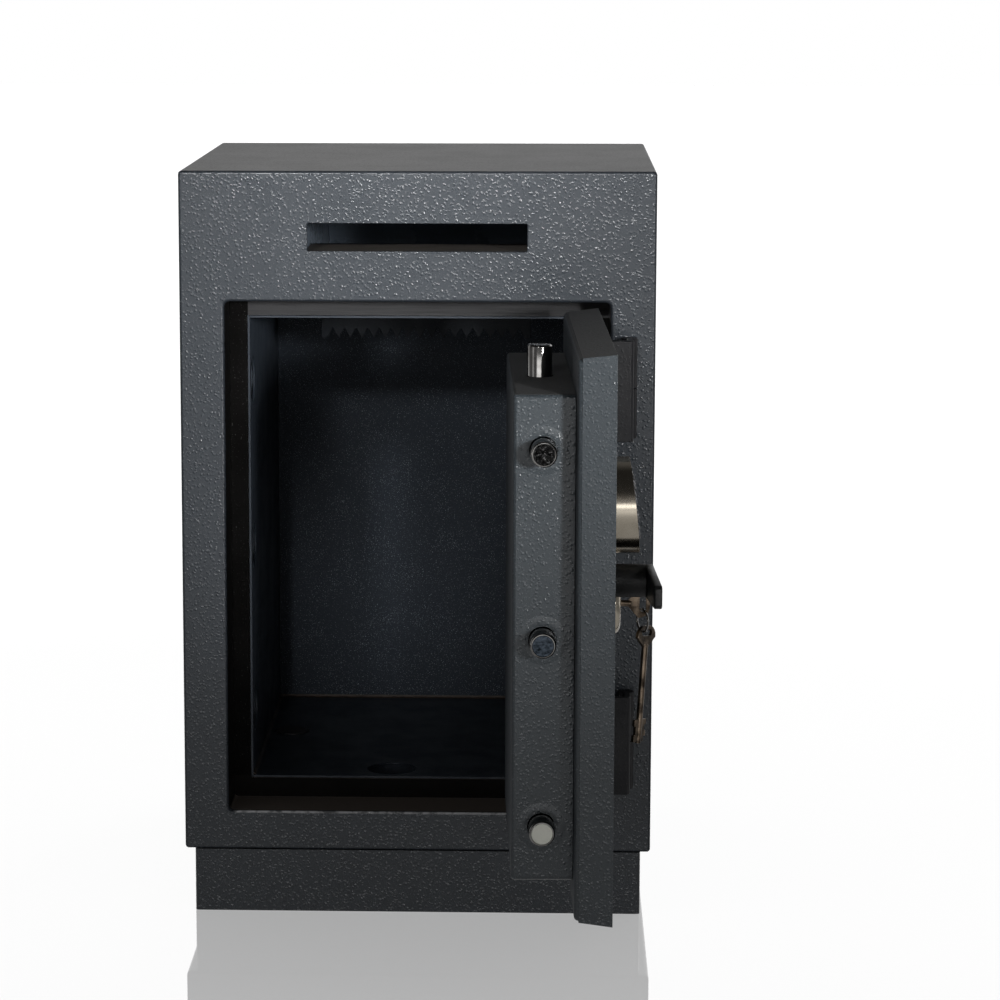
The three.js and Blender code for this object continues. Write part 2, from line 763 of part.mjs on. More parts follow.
// Housing over the boltwork: a pan with folded edges, open towards the slab
function boltHousing() {
  const face = roundedRect(housingLeft, housingRight, housingBottom, housingTop, housingCorner);
  const front = slabRear + seam;
  const solidPan = softPlate(face, front - housingBend, housingRear, housingBend, 3);
  const pan = common(solidPan, box(-width, width, front, depth, 0, bodyTop));
  const inside = box(
    housingLeft + housingSheet, housingRight - housingSheet, front - 1, housingRear - housingSheet,
    housingBottom + housingSheet, housingTop - housingSheet);
  const hole = boltRadius + boltClearance;
  const sideHoles = boltHeights.map((z) => barX(housingLeft - 1, housingLeft + 8, boltY, z, hole));
  const endHole = barZ(0, bodyTop, handleX, boltY, hole);
  return cut(pan, inside, ...sideHoles, endHole);
}

// A thrown bolt: chamfered end, shank, and a tenon riveted through the plate's flange
function sideBolt(z) {
  const tip = housingLeft - boltReach;
  const shoulder = plateLeft - seam;
  const flangeRear = plateLeft + plateSheet + seam;
  const profile = [
    [0, tip],
    [boltRadius - boltChamfer, tip],
    [boltRadius, tip + boltChamfer],
    [boltRadius, shoulder],
    [tenonRadius, shoulder],
    [tenonRadius, flangeRear],
    [tenonRadius + 2.5, flangeRear],
    [tenonRadius + 2, flangeRear + 3],
    [0, flangeRear + 3],
  ];
  const points = profile.map(([radius, x]) => new THREE.Vector2(radius, x));
  const bolt = new THREE.LatheGeometry(points, boltSides);
  return bolt.rotateZ(-Math.PI / 2).translate(0, boltY, z);
}

// Boltwork plate: bar, web, blocking arm and flange, with a crank slot and cam slots for the rods
function boltPlate() {
  const barBottom = boltCentre - plateBarHeight / 2;
  const barTop = boltCentre + plateBarHeight / 2;
  const webBottom = boltCentre - plateWebHalfHeight;
  const webTop = boltCentre + plateWebHalfHeight;
  const armRight = lockX - lockBoltWidth / 2 - blockGap;
  const tabRight = handleX + rodStrapWidth / 2 + 14;
  const armTop = blockArmBottom + blockArmHeight;
  const sheet = outline([
    [plateLeft, barBottom], [plateBarRight, barBottom], [plateBarRight, webBottom],
    [plateWebRight, webBottom], [plateWebRight, blockArmBottom], [armRight, blockArmBottom],
    [armRight, armTop], [plateWebRight, armTop], [plateWebRight, webTop - 16],
    [tabRight, webTop - 16], [tabRight, webTop], [plateBarRight, webTop],
    [plateBarRight, barTop], [plateLeft, barTop],
  ]);
  const flange = box(plateLeft, plateLeft + plateSheet, plateFront, plateFront + plateFlangeDepth,
    barBottom, barTop);
  const studSlots = [-studHalfSpacing, studHalfSpacing].map((offset) =>
    slotShape(studX - boltTravel, boltCentre + offset, studX, boltCentre + offset,
      studRadius + slotClearance));
  const slope = rodTravel / boltTravel;
  const rodSlots = rodPinHeights.map((z) => {
    const inward = Math.sign(boltCentre - z);
    return slotShape(handleX - boltTravel, z + inward * slope * boltTravel, handleX, z,
      rodPinRadius + slotClearance);
  });
  const crankLow = handleZ - crankRadius;
  const crankSlot = slotShape(crankPinX, crankLow, crankPinX, crankPinZ, crankPinRadius + crankClearance);
  const cutters = [...studSlots, ...rodSlots, crankSlot].map((shape) =>
    alongY(shape, plateFront - 1, plateRear + 1, 4));
  const tenons = boltHeights.map((z) =>
    barX(plateLeft - 1, plateLeft + plateSheet + 1, boltY, z, tenonRadius + seam));
  return cut(join(alongY(sheet, plateFront, plateRear), flange), ...cutters, ...tenons);
}

// A vertical bolt with the flat rod and pin that the plate's cam slot drives
function rodBolt(direction, pinZ) {
  const housingEnd = direction > 0 ? housingTop : housingBottom;
  const tip = housingEnd + direction * rodReach;
  const shankEnd = housingEnd - direction * (rodTravel + 3);
  const strapEnd = pinZ - direction * rodStrapWidth / 2;
  const profile = [
    [0, 0],
    [boltRadius - boltChamfer, 0],
    [boltRadius, boltChamfer],
    [boltRadius, Math.abs(tip - shankEnd)],
    [0, Math.abs(tip - shankEnd)],
  ];
  const points = profile.map(([radius, height]) => new THREE.Vector2(radius, height));
  const shank = new THREE.LatheGeometry(points, boltSides).rotateX(-direction * Math.PI / 2);
  shank.translate(handleX, boltY, tip);
  const strapFar = shankEnd + direction * 4;
  const strap = box(handleX - rodStrapWidth / 2, handleX + rodStrapWidth / 2, rodFront, rodRear,
    Math.min(strapEnd, strapFar), Math.max(strapEnd, strapFar));
  const pin = barY(plateFront, rodRear - 1, handleX, pinZ, rodPinRadius, 20);
  return join(shank, strap, pin);
}

// Base plate on the slab with the plate's two guide studs and the rods' two guides
function boltworkBase() {
  const front = slabRear + seam;
  const sheetRear = front + boltworkBaseSheet;
  const left = studX - 8;
  const right = handleX + rodStrapWidth / 2 + rodGuideWall;
  const reach = rodGuideHalfSpacing + rodGuideHeight / 2;
  const shape = roundedRect(left, right, boltCentre - reach, boltCentre + reach, 3);
  const sheet = alongY(shape, front, sheetRear);
  const studs = [-studHalfSpacing, studHalfSpacing].map((offset) => join(
    barY(sheetRear - 1, plateRear + 1, studX, boltCentre + offset, studRadius, 20),
    barY(front + 1, plateFront - seam, studX, boltCentre + offset, studRadius + 2.5, 20),
  ));
  const half = rodStrapWidth / 2;
  const guides = [-rodGuideHalfSpacing, rodGuideHalfSpacing].map((offset) => {
    const z0 = boltCentre + offset - rodGuideHeight / 2;
    const z1 = boltCentre + offset + rodGuideHeight / 2;
    return cut(
      box(handleX - half - rodGuideWall, right, front + 1, rodRear + 3, z0, z1),
      box(handleX - half - seam, handleX + half + seam, rodFront - seam, rodRear + seam, z0 - 1, z1 + 1),
    );
  });
  const spindleHole = barY(front - 1, sheetRear + 1, handleX, handleZ, spindleRadius + 1);
  return cut(join(sheet, ...studs, ...guides), spindleHole);
}

// Handle: a round hub and a tapered flat lever that leans out towards its tip
function handleLever() {
  const hubRear = slabFront - 2 * seam;
  const hubFront = slabFront - hubLength;
  const quarter = Math.PI / 2;
  const tip = handleX - leverLength;
  const corner = 1.5;
  const lean = Math.asin((hubRadius - leverTipHalf) / leverLength);
  const shape = new THREE.Shape();
  shape.absarc(handleX, handleZ, hubRadius, -quarter - lean, quarter + lean);
  shape.absarc(tip + corner, handleZ + leverTipHalf - corner, corner, quarter, 2 * quarter);
  shape.absarc(tip + corner, handleZ - leverTipHalf + corner, corner, 2 * quarter, 3 * quarter);
  const lever = alongY(shape, hubFront - leverThickness, hubFront, 6);
  const position = lever.attributes.position;
  for (let index = 0; index < position.count; index += 1) {
    const along = Math.max(0, handleX - hubRadius - position.getX(index)) / (leverLength - hubRadius);
    position.setY(index, position.getY(index) - leverSplay * along);
  }
  const hub = barY(hubFront - 0.5, hubRear, handleX, handleZ, hubRadius, fineSides);
  const socket = barY(hubRear - spindleInHub, hubRear + 1, handleX, handleZ, spindleRadius + seam);
  return cut(join(hub, lever), socket);
}

// Spindle with the crank that slides the boltwork plate
function handleSpindle() {
  const start = slabFront - spindleInHub + seam;
  const shaft = barY(start, crankRear, handleX, handleZ, spindleRadius);
  const reach = crankPinRadius + 2.5;
  const web = Math.asin((crankHubRadius - reach) / crankRadius);
  const quarter = Math.PI / 2;
  const shape = new THREE.Shape();
  shape.absarc(crankPinX, crankPinZ, reach, crankAngle - quarter + web, crankAngle + quarter - web);
  shape.absarc(handleX, handleZ, crankHubRadius, crankAngle + quarter - web,
    crankAngle + 3 * quarter + web);
  const crank = alongY(shape, crankFront, crankRear, 5);
  const pin = barY(crankRear - 1, plateRear, crankPinX, crankPinZ, crankPinRadius, 20);
  return join(shaft, crank, pin);
}

// Keypad: a round housing with a sloping face, a circuit board and twelve keys
function keypadTop(offset) {
  const tall = 2 * keypadTall;
  const slab = box(-2 * keypadRadius, 2 * keypadRadius, -tall, 0, -2 * keypadRadius, 2 * keypadRadius);
  slab.rotateX(-keypadSlope);
  return slab.translate(keypadX, slabFront - keypadMid + offset, keypadZ);
}

function keypadHousing() {
  const rear = slabFront - seam;
  const front = slabFront - keypadTall - 5;
  const body = barY(front, rear, keypadX, keypadZ, keypadRadius, fineSides);
  const hollow = barY(front, rear + 1, keypadX, keypadZ, keypadRadius - keypadWall, fineSides);
  const room = cut(hollow, keypadTop(keypadFace));
  const windows = keyPlaces().map(([u, v]) => keypadBlock(
    roundedRect(u - keyWidth / 2 - runningGap, u + keyWidth / 2 + runningGap,
      v - keyHeight / 2 - runningGap, v + keyHeight / 2 + runningGap, keyCorner),
    -2, keypadFace + 2));
  return cut(cut(body, keypadTop(0)), room, ...windows);
}

// Places of the keys across the sloping face
function keyPlaces() {
  const places = [];
  for (let row = 0; row < keyRows; row += 1) {
    for (let column = 0; column < keyColumns; column += 1) {
      places.push([
        (column - (keyColumns - 1) / 2) * keyPitchX,
        ((keyRows - 1) / 2 - row) * keyPitchZ,
      ]);
    }
  }
  return places;
}

// A block square to the sloping face, between two depths below it
function keypadBlock(shape, depth0, depth1, steps = 1) {
  const block = alongY(shape, depth0, depth1, steps).rotateX(-keypadSlope);
  return block.translate(keypadX, slabFront - keypadMid, keypadZ);
}

function keypadKey([u, v]) {
  const cap = roundedRect(u - keyWidth / 2, u + keyWidth / 2, v - keyHeight / 2, v + keyHeight / 2,
    keyCorner);
  const w = keyWidth / 2 + keyFlange;
  const h = keyHeight / 2 + keyFlange;
  const flangeTop = keypadFace + seam;
  return join(
    keypadBlock(cap, -keyProud, flangeTop + keyFlangeSheet / 2),
    keypadBlock(roundedRect(u - w, u + w, v - h, v + h, keyCorner), flangeTop, flangeTop + keyFlangeSheet),
  );
}

function keypadBoard() {
  const depth0 = keypadFace + seam + keyFlangeSheet + keyTravel + seam;
  const disc = new THREE.Shape();
  disc.absarc(0, 0, keypadRadius - keypadWall - 1, 0, 2 * Math.PI);
  return keypadBlock(disc, depth0, depth0 + boardSheet, coarseSides / 2);
}

// Key lock
function escutcheon() {
  const rear = -seam;
  const front = -escutcheonHeight;
  const bore = plugRadius + runningGap;
  const profile = [
    [bore, rear],
    [escutcheonRadius, rear],
    [escutcheonRadius, front + 4],
    [escutcheonRadius - 1.5, front + 1.4],
    [escutcheonRadius - 4, front],
    [bore, front],
    [bore, rear],
  ];
  const points = profile.map(([radius, y]) => new THREE.Vector2(radius, y));
  const ring = new THREE.LatheGeometry(points.reverse(), fineSides);
  return ring.translate(lockX, slabFront, lockZ);
}

function lockPlug() {
  const shape = new THREE.Shape();
  shape.absarc(lockX, lockZ, plugRadius, 0, 2 * Math.PI);
  const plug = alongY(shape, slabFront - escutcheonHeight + 1, slabRear + lockCaseThickness - 4, 16);
  const halfKeyway = keywayWidth / 2;
  const slit = box(lockX - halfKeyway, lockX + halfKeyway, -depth, depth,
    lockZ - keywayHeight / 2, lockZ + keywayHeight / 2);
  const core = barY(-depth, depth, lockX, lockZ, keyShaftRadius + seam + 0.2);
  return cut(plug, slit, core);
}

function lockCase() {
  const front = slabRear + seam;
  const rear = front + lockCaseThickness;
  const body = box(lockX - lockCaseWidth / 2, lockX + lockCaseWidth / 2, front, rear,
    lockCaseBottom, lockCaseTop);
  const bore = barY(front - 1, rear - 2, lockX, lockZ, plugRadius + runningGap);
  const half = lockBoltWidth / 2 + seam;
  const boltRoom = box(lockX - half, lockX + half, lockBoltFront() - seam,
    lockBoltFront() + lockBoltThickness + seam, lockBoltBottom() - seam, lockCaseTop + 1);
  return cut(body, bore, boltRoom);
}

function lockBoltFront() {
  return (plateFront + plateRear) / 2 - lockBoltThickness / 2;
}

function lockBoltBottom() {
  return lockCaseTop - 1 - lockBoltLength;
}

function lockBolt() {
  const half = lockBoltWidth / 2;
  const bottom = lockBoltBottom();
  return box(lockX - half, lockX + half, lockBoltFront(), lockBoltFront() + lockBoltThickness,
    bottom, bottom + lockBoltLength);
}

// A double-bit key in its own frame: bow end at the origin, shaft along +Y, bow flat in Y and Z
function doubleBitKey() {
  const half = bowWidth / 2;
  const bow = new THREE.Shape();
  bow.moveTo(bowLength, -keyShaftRadius);
  bow.lineTo(bowLength * 0.55, -half);
  bow.quadraticCurveTo(bowLength * 0.25, -half, 1.2, -half * 0.62);
  bow.quadraticCurveTo(0, -half * 0.4, 0, 0);
  bow.quadraticCurveTo(0, half * 0.4, 1.2, half * 0.62);
  bow.quadraticCurveTo(bowLength * 0.25, half, bowLength * 0.55, half);
  bow.lineTo(bowLength, keyShaftRadius);
  const reach = bowHoleLength / 2 - bowHoleWidth / 2;
  const hole = slotShape(bowHoleFromEnd, -reach, bowHoleFromEnd, reach, bowHoleWidth / 2);
  const plate = cut(
    alongX(bow, -bowThickness / 2, bowThickness / 2, 3),
    alongX(hole, -bowThickness, bowThickness, 3),
  );
  const shaft = barY(bowLength - 2, keyLength, 0, 0, keyShaftRadius, 16);
  const w = bitWidth / 2;
  const start = keyLength - bitLength - 1;
  const bit = outline([
    [start, -w], [start + 4, -w], [start + 4, -w + 1.6], [start + 8, -w + 1.6], [start + 8, -w],
    [start + 12, -w], [start + 12, -w + 2.2], [start + bitLength, -w + 2.2],
    [start + bitLength, w], [start + 11, w], [start + 11, w - 1.8], [start + 5, w - 1.8],
    [start + 5, w], [start, w],
  ]);
  return join(plate, shaft, alongX(bit, -bitThickness / 2, bitThickness / 2));
}

function splitRing() {
  return new THREE.TorusGeometry(ringRadius, ringWire, 6, 32);
}

// Electronic lock: a solenoid whose plunger drops behind the boltwork plate's tab
function solenoidPlace() {
  return {
    x: handleX + rodStrapWidth / 2 + 14 + plungerRadius + 2,
    bottom: boltCentre + plateWebHalfHeight + solenoidAboveWeb,
    y: (plateFront + plateRear) / 2,
  };
}

function solenoidBody() {
  const place = solenoidPlace();
  const front = slabRear + seam;
  const body = box(place.x - solenoidWidth / 2, place.x + solenoidWidth / 2, front,
    front + solenoidThickness, place.bottom, place.bottom + solenoidHeight);
  const bore = barZ(place.bottom - 1, place.bottom + solenoidHeight - 4, place.x, place.y,
    plungerRadius + runningGap);
  return cut(body, bore);
}

function solenoidPlunger() {
  const place = solenoidPlace();
  return barZ(place.bottom - plungerShown, place.bottom + solenoidHeight - 5, place.x, place.y,
    plungerRadius);
}

// The cabinet
const safe = new THREE.Group();
safe.position.y = -depth / 2;

piece(safe, "front_frame", frontFrame(), hammertone);
piece(safe, "outer_shell", outerShell(), hammertone);
piece(safe, "back_panel", backPanel(), hammertone);
piece(safe, "plinth", plinth(), hammertone);
piece(safe, "door_jamb", doorJamb(), jambPaint);
piece(safe, "liner_left", linerSide(-1), insideCoat);
piece(safe, "liner_right", linerSide(1), insideCoat);
piece(safe, "liner_back", linerBack(), hammertone);
piece(safe, "liner_floor", linerFloor(), insideCoat);
piece(safe, "liner_ceiling", linerCeiling(), insideCoat);
piece(safe, "cast_fill", fillBlock(), castFill);
piece(safe, "strike_channel", strikeChannel(), insideCoat);
piece(safe, "strike_cup_floor", strikeCup(cavityBottom - linerSheet - seam, -1), insideCoat);
piece(safe, "strike_cup_head", strikeCup(cavityTop + linerSheet + seam, 1), insideCoat);
piece(safe, "anchor_cap_left", anchorCap(-anchorX), blackPlastic);
piece(safe, "anchor_cap_right", anchorCap(anchorX), blackPlastic);
piece(safe, "chute_hood", chuteHood(), chutePaint);
piece(safe, "chute_floor", chuteFloor(), chutePaint);
piece(safe, "chute_deflector", chuteDeflector(), chutePaint);
["upper", "lower"].forEach((level, index) => {
  piece(safe, `hinge_knuckle_${level}`, lowerKnuckle(index), blackSteel);
  piece(safe, `hinge_pin_${level}`, hingePin(index), zincSteel);
});

// The door turns about the hinge pins; its pieces are placed as they lie when it is shut
const doorTurn = new THREE.Group();
doorTurn.position.set(hingeX, hingeY, 0);
doorTurn.rotation.z = openAngle;
safe.add(doorTurn);
const door = new THREE.Group();
door.position.set(-hingeX, -hingeY, 0);
doorTurn.add(door);

piece(door, "door_slab", doorSlab(), hammertone);
piece(door, "bolt_housing", boltHousing(), hammertone);
["upper", "lower"].forEach((level, index) => {
  piece(door, `hinge_leaf_${level}`, hingeLeaf(index), blackSteel);
});
piece(door, "boltwork_base", boltworkBase(), zincSteel);
piece(door, "bolt_plate", boltPlate(), zincSteel);
["top", "middle", "bottom"].forEach((level, index) => {
  piece(door, `side_bolt_${level}`, sideBolt(boltHeights[index]), chrome);
});
piece(door, "rod_bolt_top", rodBolt(1, rodPinHeights[0]), chrome);
piece(door, "rod_bolt_bottom", rodBolt(-1, rodPinHeights[1]), chrome);
piece(door, "handle_lever", handleLever(), blackHandle);
piece(door, "handle_spindle", handleSpindle(), zincSteel);
piece(door, "keypad_housing", keypadHousing(), nickel);
piece(door, "keypad_board", keypadBoard(), circuitGreen);
keyPlaces().forEach((place, index) => {
  piece(door, `key_${String(index + 1).padStart(2, "0")}`, keypadKey(place), keyGrey);
});
piece(door, "solenoid_body", solenoidBody(), zincSteel);
piece(door, "solenoid_plunger", solenoidPlunger(), chrome);
piece(door, "lock_escutcheon", escutcheon(), chrome);
piece(door, "lock_plug", lockPlug(), brass);
piece(door, "lock_case", lockCase(), zincSteel);
piece(door, "lock_bolt", lockBolt(), brass);

// One key stands in the lock, the other hangs from it on a ring
const lockKey = piece(door, "lock_key", doubleBitKey(), bronzeKey);
lockKey.position.set(lockX, keyNeckY - bowLength, lockZ);

const ring = piece(door, "key_ring", splitRing(), zincSteel);
ring.position.set(lockX, ringHoleY, ringCentreZ);
ring.rotation.set(Math.PI / 2, ringTurn, 0, "ZXY");

const spareHang = new THREE.Group();
spareHang.position.set(lockX, ringHoleY, ringBottomZ);
spareHang.rotation.z = spareTurn;
door.add(spareHang);
const spareGeometry = doubleBitKey();
const sparePivot = bowHoleFromEnd - bowHoleWidth / 2 + ringWire + ringSlack;
const spareLean = new THREE.Group();
spareLean.rotation.x = Math.atan2(spareHoleOffset, balanceY(spareGeometry) - sparePivot);
spareHang.add(spareLean);
const spareKey = piece(spareLean, "spare_key", spareGeometry, bronzeKey);
spareKey.rotation.x = -Math.PI / 2;
spareKey.position.set(0, -spareHoleOffset, sparePivot);

export default safe;
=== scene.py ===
"""Dresses a free-standing drop safe: hammered paint, plated bolts, keypad, keys, chute and studio."""

import logging
import math
from dataclasses import dataclass
from enum import Enum
from typing import Dict, Optional, Sequence, Tuple, Union

import bmesh
import bpy
from mathutils import Matrix, Vector


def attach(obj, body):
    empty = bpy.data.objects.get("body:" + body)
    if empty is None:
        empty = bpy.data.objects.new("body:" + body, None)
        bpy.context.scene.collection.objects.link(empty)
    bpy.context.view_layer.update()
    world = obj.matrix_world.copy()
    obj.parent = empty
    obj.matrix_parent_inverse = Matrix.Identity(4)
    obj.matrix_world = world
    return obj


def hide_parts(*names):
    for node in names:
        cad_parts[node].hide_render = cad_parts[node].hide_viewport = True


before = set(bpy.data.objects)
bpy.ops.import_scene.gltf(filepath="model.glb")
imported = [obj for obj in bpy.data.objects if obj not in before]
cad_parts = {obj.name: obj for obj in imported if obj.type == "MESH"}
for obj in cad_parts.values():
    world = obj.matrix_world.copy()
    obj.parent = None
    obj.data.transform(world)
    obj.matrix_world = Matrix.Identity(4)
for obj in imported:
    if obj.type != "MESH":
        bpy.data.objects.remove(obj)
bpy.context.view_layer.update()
LOG = logging.getLogger("drop_safe")
MM = 0.001
IN_PLACE = Matrix.Identity(4)

Node = bpy.types.Node
Outputs = bpy.types.bpy_prop_collection
Socket = bpy.types.NodeSocket
Value = Union[Socket, float]
Point = Tuple[float, float, float]
Colour = Tuple[float, float, float]
Span = Tuple[float, float]
Grain = Tuple[float, float, float]  # A noise's scale, detail and roughness.
Outline = Sequence[Tuple[float, float]]
WHITE: Colour = (1.0, 1.0, 1.0)
EVEN: Point = (1.0, 1.0, 1.0)


class Axis(Enum):
    """Where a turned piece's axis points before the door opens, as degrees about another axis."""

    X = (90.0, "Y")
    Y = (-90.0, "X")
    Z = (0.0, "Z")


class Graph:
    """A node tree with short calls for making nodes and joining them."""

    def __init__(self, tree: bpy.types.NodeTree) -> None:
        """Keeps the tree that the nodes go into."""
        self.tree = tree

    def add(self, kind: str, feeds: Optional[Dict[object, object]] = None, **settings: object) -> Node:
        """Makes a node.

        Args:
            kind: The node's type name.
            feeds: What its inputs get, by their name or number.
            settings: Properties of the node, by name.

        Returns:
            The new node.
        """
        node = self.tree.nodes.new(kind)
        for name, value in settings.items():
            setattr(node, name, value)
        for key, value in (feeds or {}).items():
            self.feed(node.inputs[key], value)
        return node

    def feed(self, target: Socket, value: object) -> None:
        """Gives a socket a link or a plain value.

        Args:
            target: The socket.
            value: Another socket, a number, a vector or a colour without alpha.
        """
        if isinstance(value, Socket):
            self.tree.links.new(value, target)
        else:
            target.default_value = (*value, 1.0) if target.type == "RGBA" else value

    def math(self, operation: str, first: Value, second: Value = 0.0) -> Socket:
        """Joins two values by a Math node with this operation."""
        return self.add("ShaderNodeMath", {0: first, 1: second}, operation=operation).outputs[0]

    def plus(self, first: Value, second: Value) -> Socket:
        """Adds two values."""
        return self.math("ADD", first, second)

    def minus(self, first: Value, second: Value) -> Socket:
        """Takes the second value from the first."""
        return self.math("SUBTRACT", first, second)

    def times(self, first: Value, second: Value) -> Socket:
        """Multiplies two values."""
        return self.math("MULTIPLY", first, second)

    def larger(self, first: Value, second: Value) -> Socket:
        """Gives the larger of two values."""
        return self.math("MAXIMUM", first, second)

    def ramp(self, value: Socket, low: float, high: float, out_low: float = 0.0,
             out_high: float = 1.0) -> Socket:
        """Stretches a range of values smoothly onto another.

        Args:
            value: The socket to read.
            low: The value that gives out_low.
            high: The value that gives out_high.
            out_low: The result at and before low.
            out_high: The result at and beyond high.

        Returns:
            The result socket.
        """
        feeds = {"Value": value, "From Min": low, "From Max": high, "To Min": out_low, "To Max": out_high}
        return self.add("ShaderNodeMapRange", feeds, interpolation_type="SMOOTHSTEP").outputs["Result"]

    def blend(self, share: Socket, first: object, second: object) -> Socket:
        """Mixes a share of the second colour into the first."""
        return self.add("ShaderNodeMix", {"Factor": share, "A": first, "B": second},
                        data_type="RGBA").outputs["Result"]

    def noise(self, vector: Socket, scale: float, detail: float, roughness: float) -> Socket:
        """Makes soft noise on coordinates."""
        return self.add("ShaderNodeTexNoise", {"Vector": vector, "Scale": scale, "Detail": detail,
                                               "Roughness": roughness}).outputs["Fac"]

    def cells(self, vector: Socket, scale: float) -> Socket:
        """Makes a cell pattern on coordinates, as the distance to each cell's centre."""
        return self.add("ShaderNodeTexVoronoi", {"Vector": vector, "Scale": scale}).outputs["Distance"]

    def wobble(self, vector: Socket, scale: float, reach: float) -> Socket:
        """Shifts coordinates by soft noise, so that what is drawn on them comes out uneven.

        Args:
            vector: The coordinates.
            scale: How fine the noise is.
            reach: How far it shifts them, in metres.

        Returns:
            The shifted coordinates.
        """
        noise = self.add("ShaderNodeTexNoise", {"Vector": vector, "Scale": scale, "Detail": 0.0})
        return self.add("ShaderNodeVectorMath", {0: noise.outputs["Color"], 1: (reach,) * 3, 2: vector},
                        operation="MULTIPLY_ADD").outputs["Vector"]

    def stretch(self, vector: Socket, scale: Point) -> Socket:
        """Scales coordinates along each axis."""
        return self.add("ShaderNodeMapping", {"Vector": vector, "Scale": scale}).outputs["Vector"]

    def split(self, vector: Socket) -> Tuple[Socket, Socket, Socket]:
        """Takes a vector apart into its X, Y and Z."""
        return tuple(self.add("ShaderNodeSeparateXYZ", {0: vector}).outputs)

    def where(self, kind: str) -> Socket:
        """Reads the coordinates of one kind, such as Object or Normal."""
        return self.add("ShaderNodeTexCoord").outputs[kind]

    def choose(self, share: Socket, first: Socket, second: Socket) -> Socket:
        """Mixes a share of the second shader into the first."""
        return self.add("ShaderNodeMixShader", {"Fac": share, 1: first, 2: second}).outputs[0]

    def bounced(self, seen: Outputs) -> Socket:
        """Tells the rays that gloss or glass sends on, from a Light Path node's outputs."""
        return self.larger(seen["Is Glossy Ray"], seen["Is Transmission Ray"])


class Surface(Graph):
    """The nodes of a new material, with its shader and its place on the piece."""

    def __init__(self, title: str) -> None:
        """Makes the material.

        Args:
            title: The material's name.
        """
        self.material = bpy.data.materials.new(title)
        self.material.use_nodes = True
        super().__init__(self.material.node_tree)
        self.shader = self.tree.nodes["Principled BSDF"]
        self.place = self.where("Object")

    def facing(self) -> Tuple[Socket, Socket, Socket]:
        """Reads how far the surface faces along X, Y and Z."""
        return self.split(self.where("Normal"))

    def fill(self, **values: object) -> None:
        """Feeds the shader's inputs, named with _ for each space."""
        for name, value in values.items():
            self.feed(self.shader.inputs[name.replace("_", " ")], value)

    def raised(self, height: Socket, depth: float) -> Socket:
        """Gives the normal of a relief as deep as depth in metres."""
        feeds = {"Strength": 1.0, "Distance": depth, "Height": height}
        return self.add("ShaderNodeBump", feeds).outputs["Normal"]


class Effect:
    """A shader node group that finishes share: it reads coordinates and gives out values."""

    title: str

    def build(self, graph: Graph, vector: Socket) -> Dict[str, Socket]:
        """Builds the effect's nodes and gives a socket for each output, by name."""
        raise NotImplementedError

    def on(self, surface: Surface, vector: Optional[Socket] = None) -> Outputs:
        """Places the effect in a material, and builds its group the first time.

        Args:
            surface: The material's nodes.
            vector: The coordinates to read, if not the piece's own.

        Returns:
            The effect's outputs.
        """
        tree = bpy.data.node_groups.get(self.title)
        if not tree:
            tree = bpy.data.node_groups.new(self.title, "ShaderNodeTree")
            tree.interface.new_socket("Vector", in_out="INPUT", socket_type="NodeSocketVector")
            graph = Graph(tree)
            results = self.build(graph, graph.add("NodeGroupInput").outputs["Vector"])
            for name in results:
                tree.interface.new_socket(name, in_out="OUTPUT", socket_type="NodeSocketFloat")
            graph.add("NodeGroupOutput", results)
        return surface.add("ShaderNodeGroup", {"Vector": vector or surface.place}, node_tree=tree).outputs


@dataclass(frozen=True)
class HammeredSkin(Effect):
    """The pebbled skin of hammered paint: its height, a crest mask for the painted highlight on the pebble
    tops, a mask of bright flecks that also stand in for painted glints, and slow drift.
    """

    title: str = "hammered skin"
    pebbles: float = 380.0
    ragged: float = 500.0
    ragged_reach: float = 0.0014
    dome: Span = (0.5, 0.06)
    # Where the pebble tops are painted lighter, as a painted highlight.
    crest_highlight: Span = (0.35, 0.06)
    grain: Grain = (1500.0, 1.0, 0.5)
    grain_share: float = 0.06
    # Bright flecks: partly flake in the paint, partly painted glints of light on the pebbles.
    fleck_glints: Grain = (1300.0, 1.0, 0.5)
    fleck_glint_cut: Span = (0.71, 0.79)
    flurries: Grain = (46.0, 3.0, 0.6)
    flurry_share: float = 0.14
    drift: Grain = (7.0, 3.0, 0.55)

    def build(self, graph: Graph, vector: Socket) -> Dict[str, Socket]:
        """Builds the skin.

        Args:
            graph: The group's nodes.
            vector: The coordinates.

        Returns:
            The outputs, by name.
        """
        lumps = graph.cells(graph.wobble(vector, self.ragged, self.ragged_reach), self.pebbles)
        grain = graph.times(graph.noise(vector, *self.grain), self.grain_share)
        flurries = graph.times(graph.noise(vector, *self.flurries), self.flurry_share)
        fleck_glints = graph.plus(graph.noise(vector, *self.fleck_glints), flurries)
        return {
            "Height": graph.plus(graph.ramp(lumps, *self.dome), grain),
            "Crest highlight": graph.ramp(lumps, *self.crest_highlight),
            "Fleck and glint": graph.ramp(fleck_glints, *self.fleck_glint_cut),
            "Drift": graph.noise(vector, *self.drift),
        }


@dataclass(frozen=True)
class NoiseMarks(Effect):
    """Marks of soft noise: each has its grain, how it is pulled along X, Y and Z, and what is cut from it."""

    title: str
    layers: Dict[str, Tuple[Grain, Point, Optional[Span]]]

    def build(self, graph: Graph, vector: Socket) -> Dict[str, Socket]:
        """Builds the marks.

        Args:
            graph: The group's nodes.
            vector: The coordinates.

        Returns:
            The outputs, by name.
        """
        results = {}
        for name, (grain, pull, cut) in self.layers.items():
            noise = graph.noise(vector if pull == EVEN else graph.stretch(vector, pull), *grain)
            results[name] = graph.ramp(noise, *cut) if cut else noise
        return results


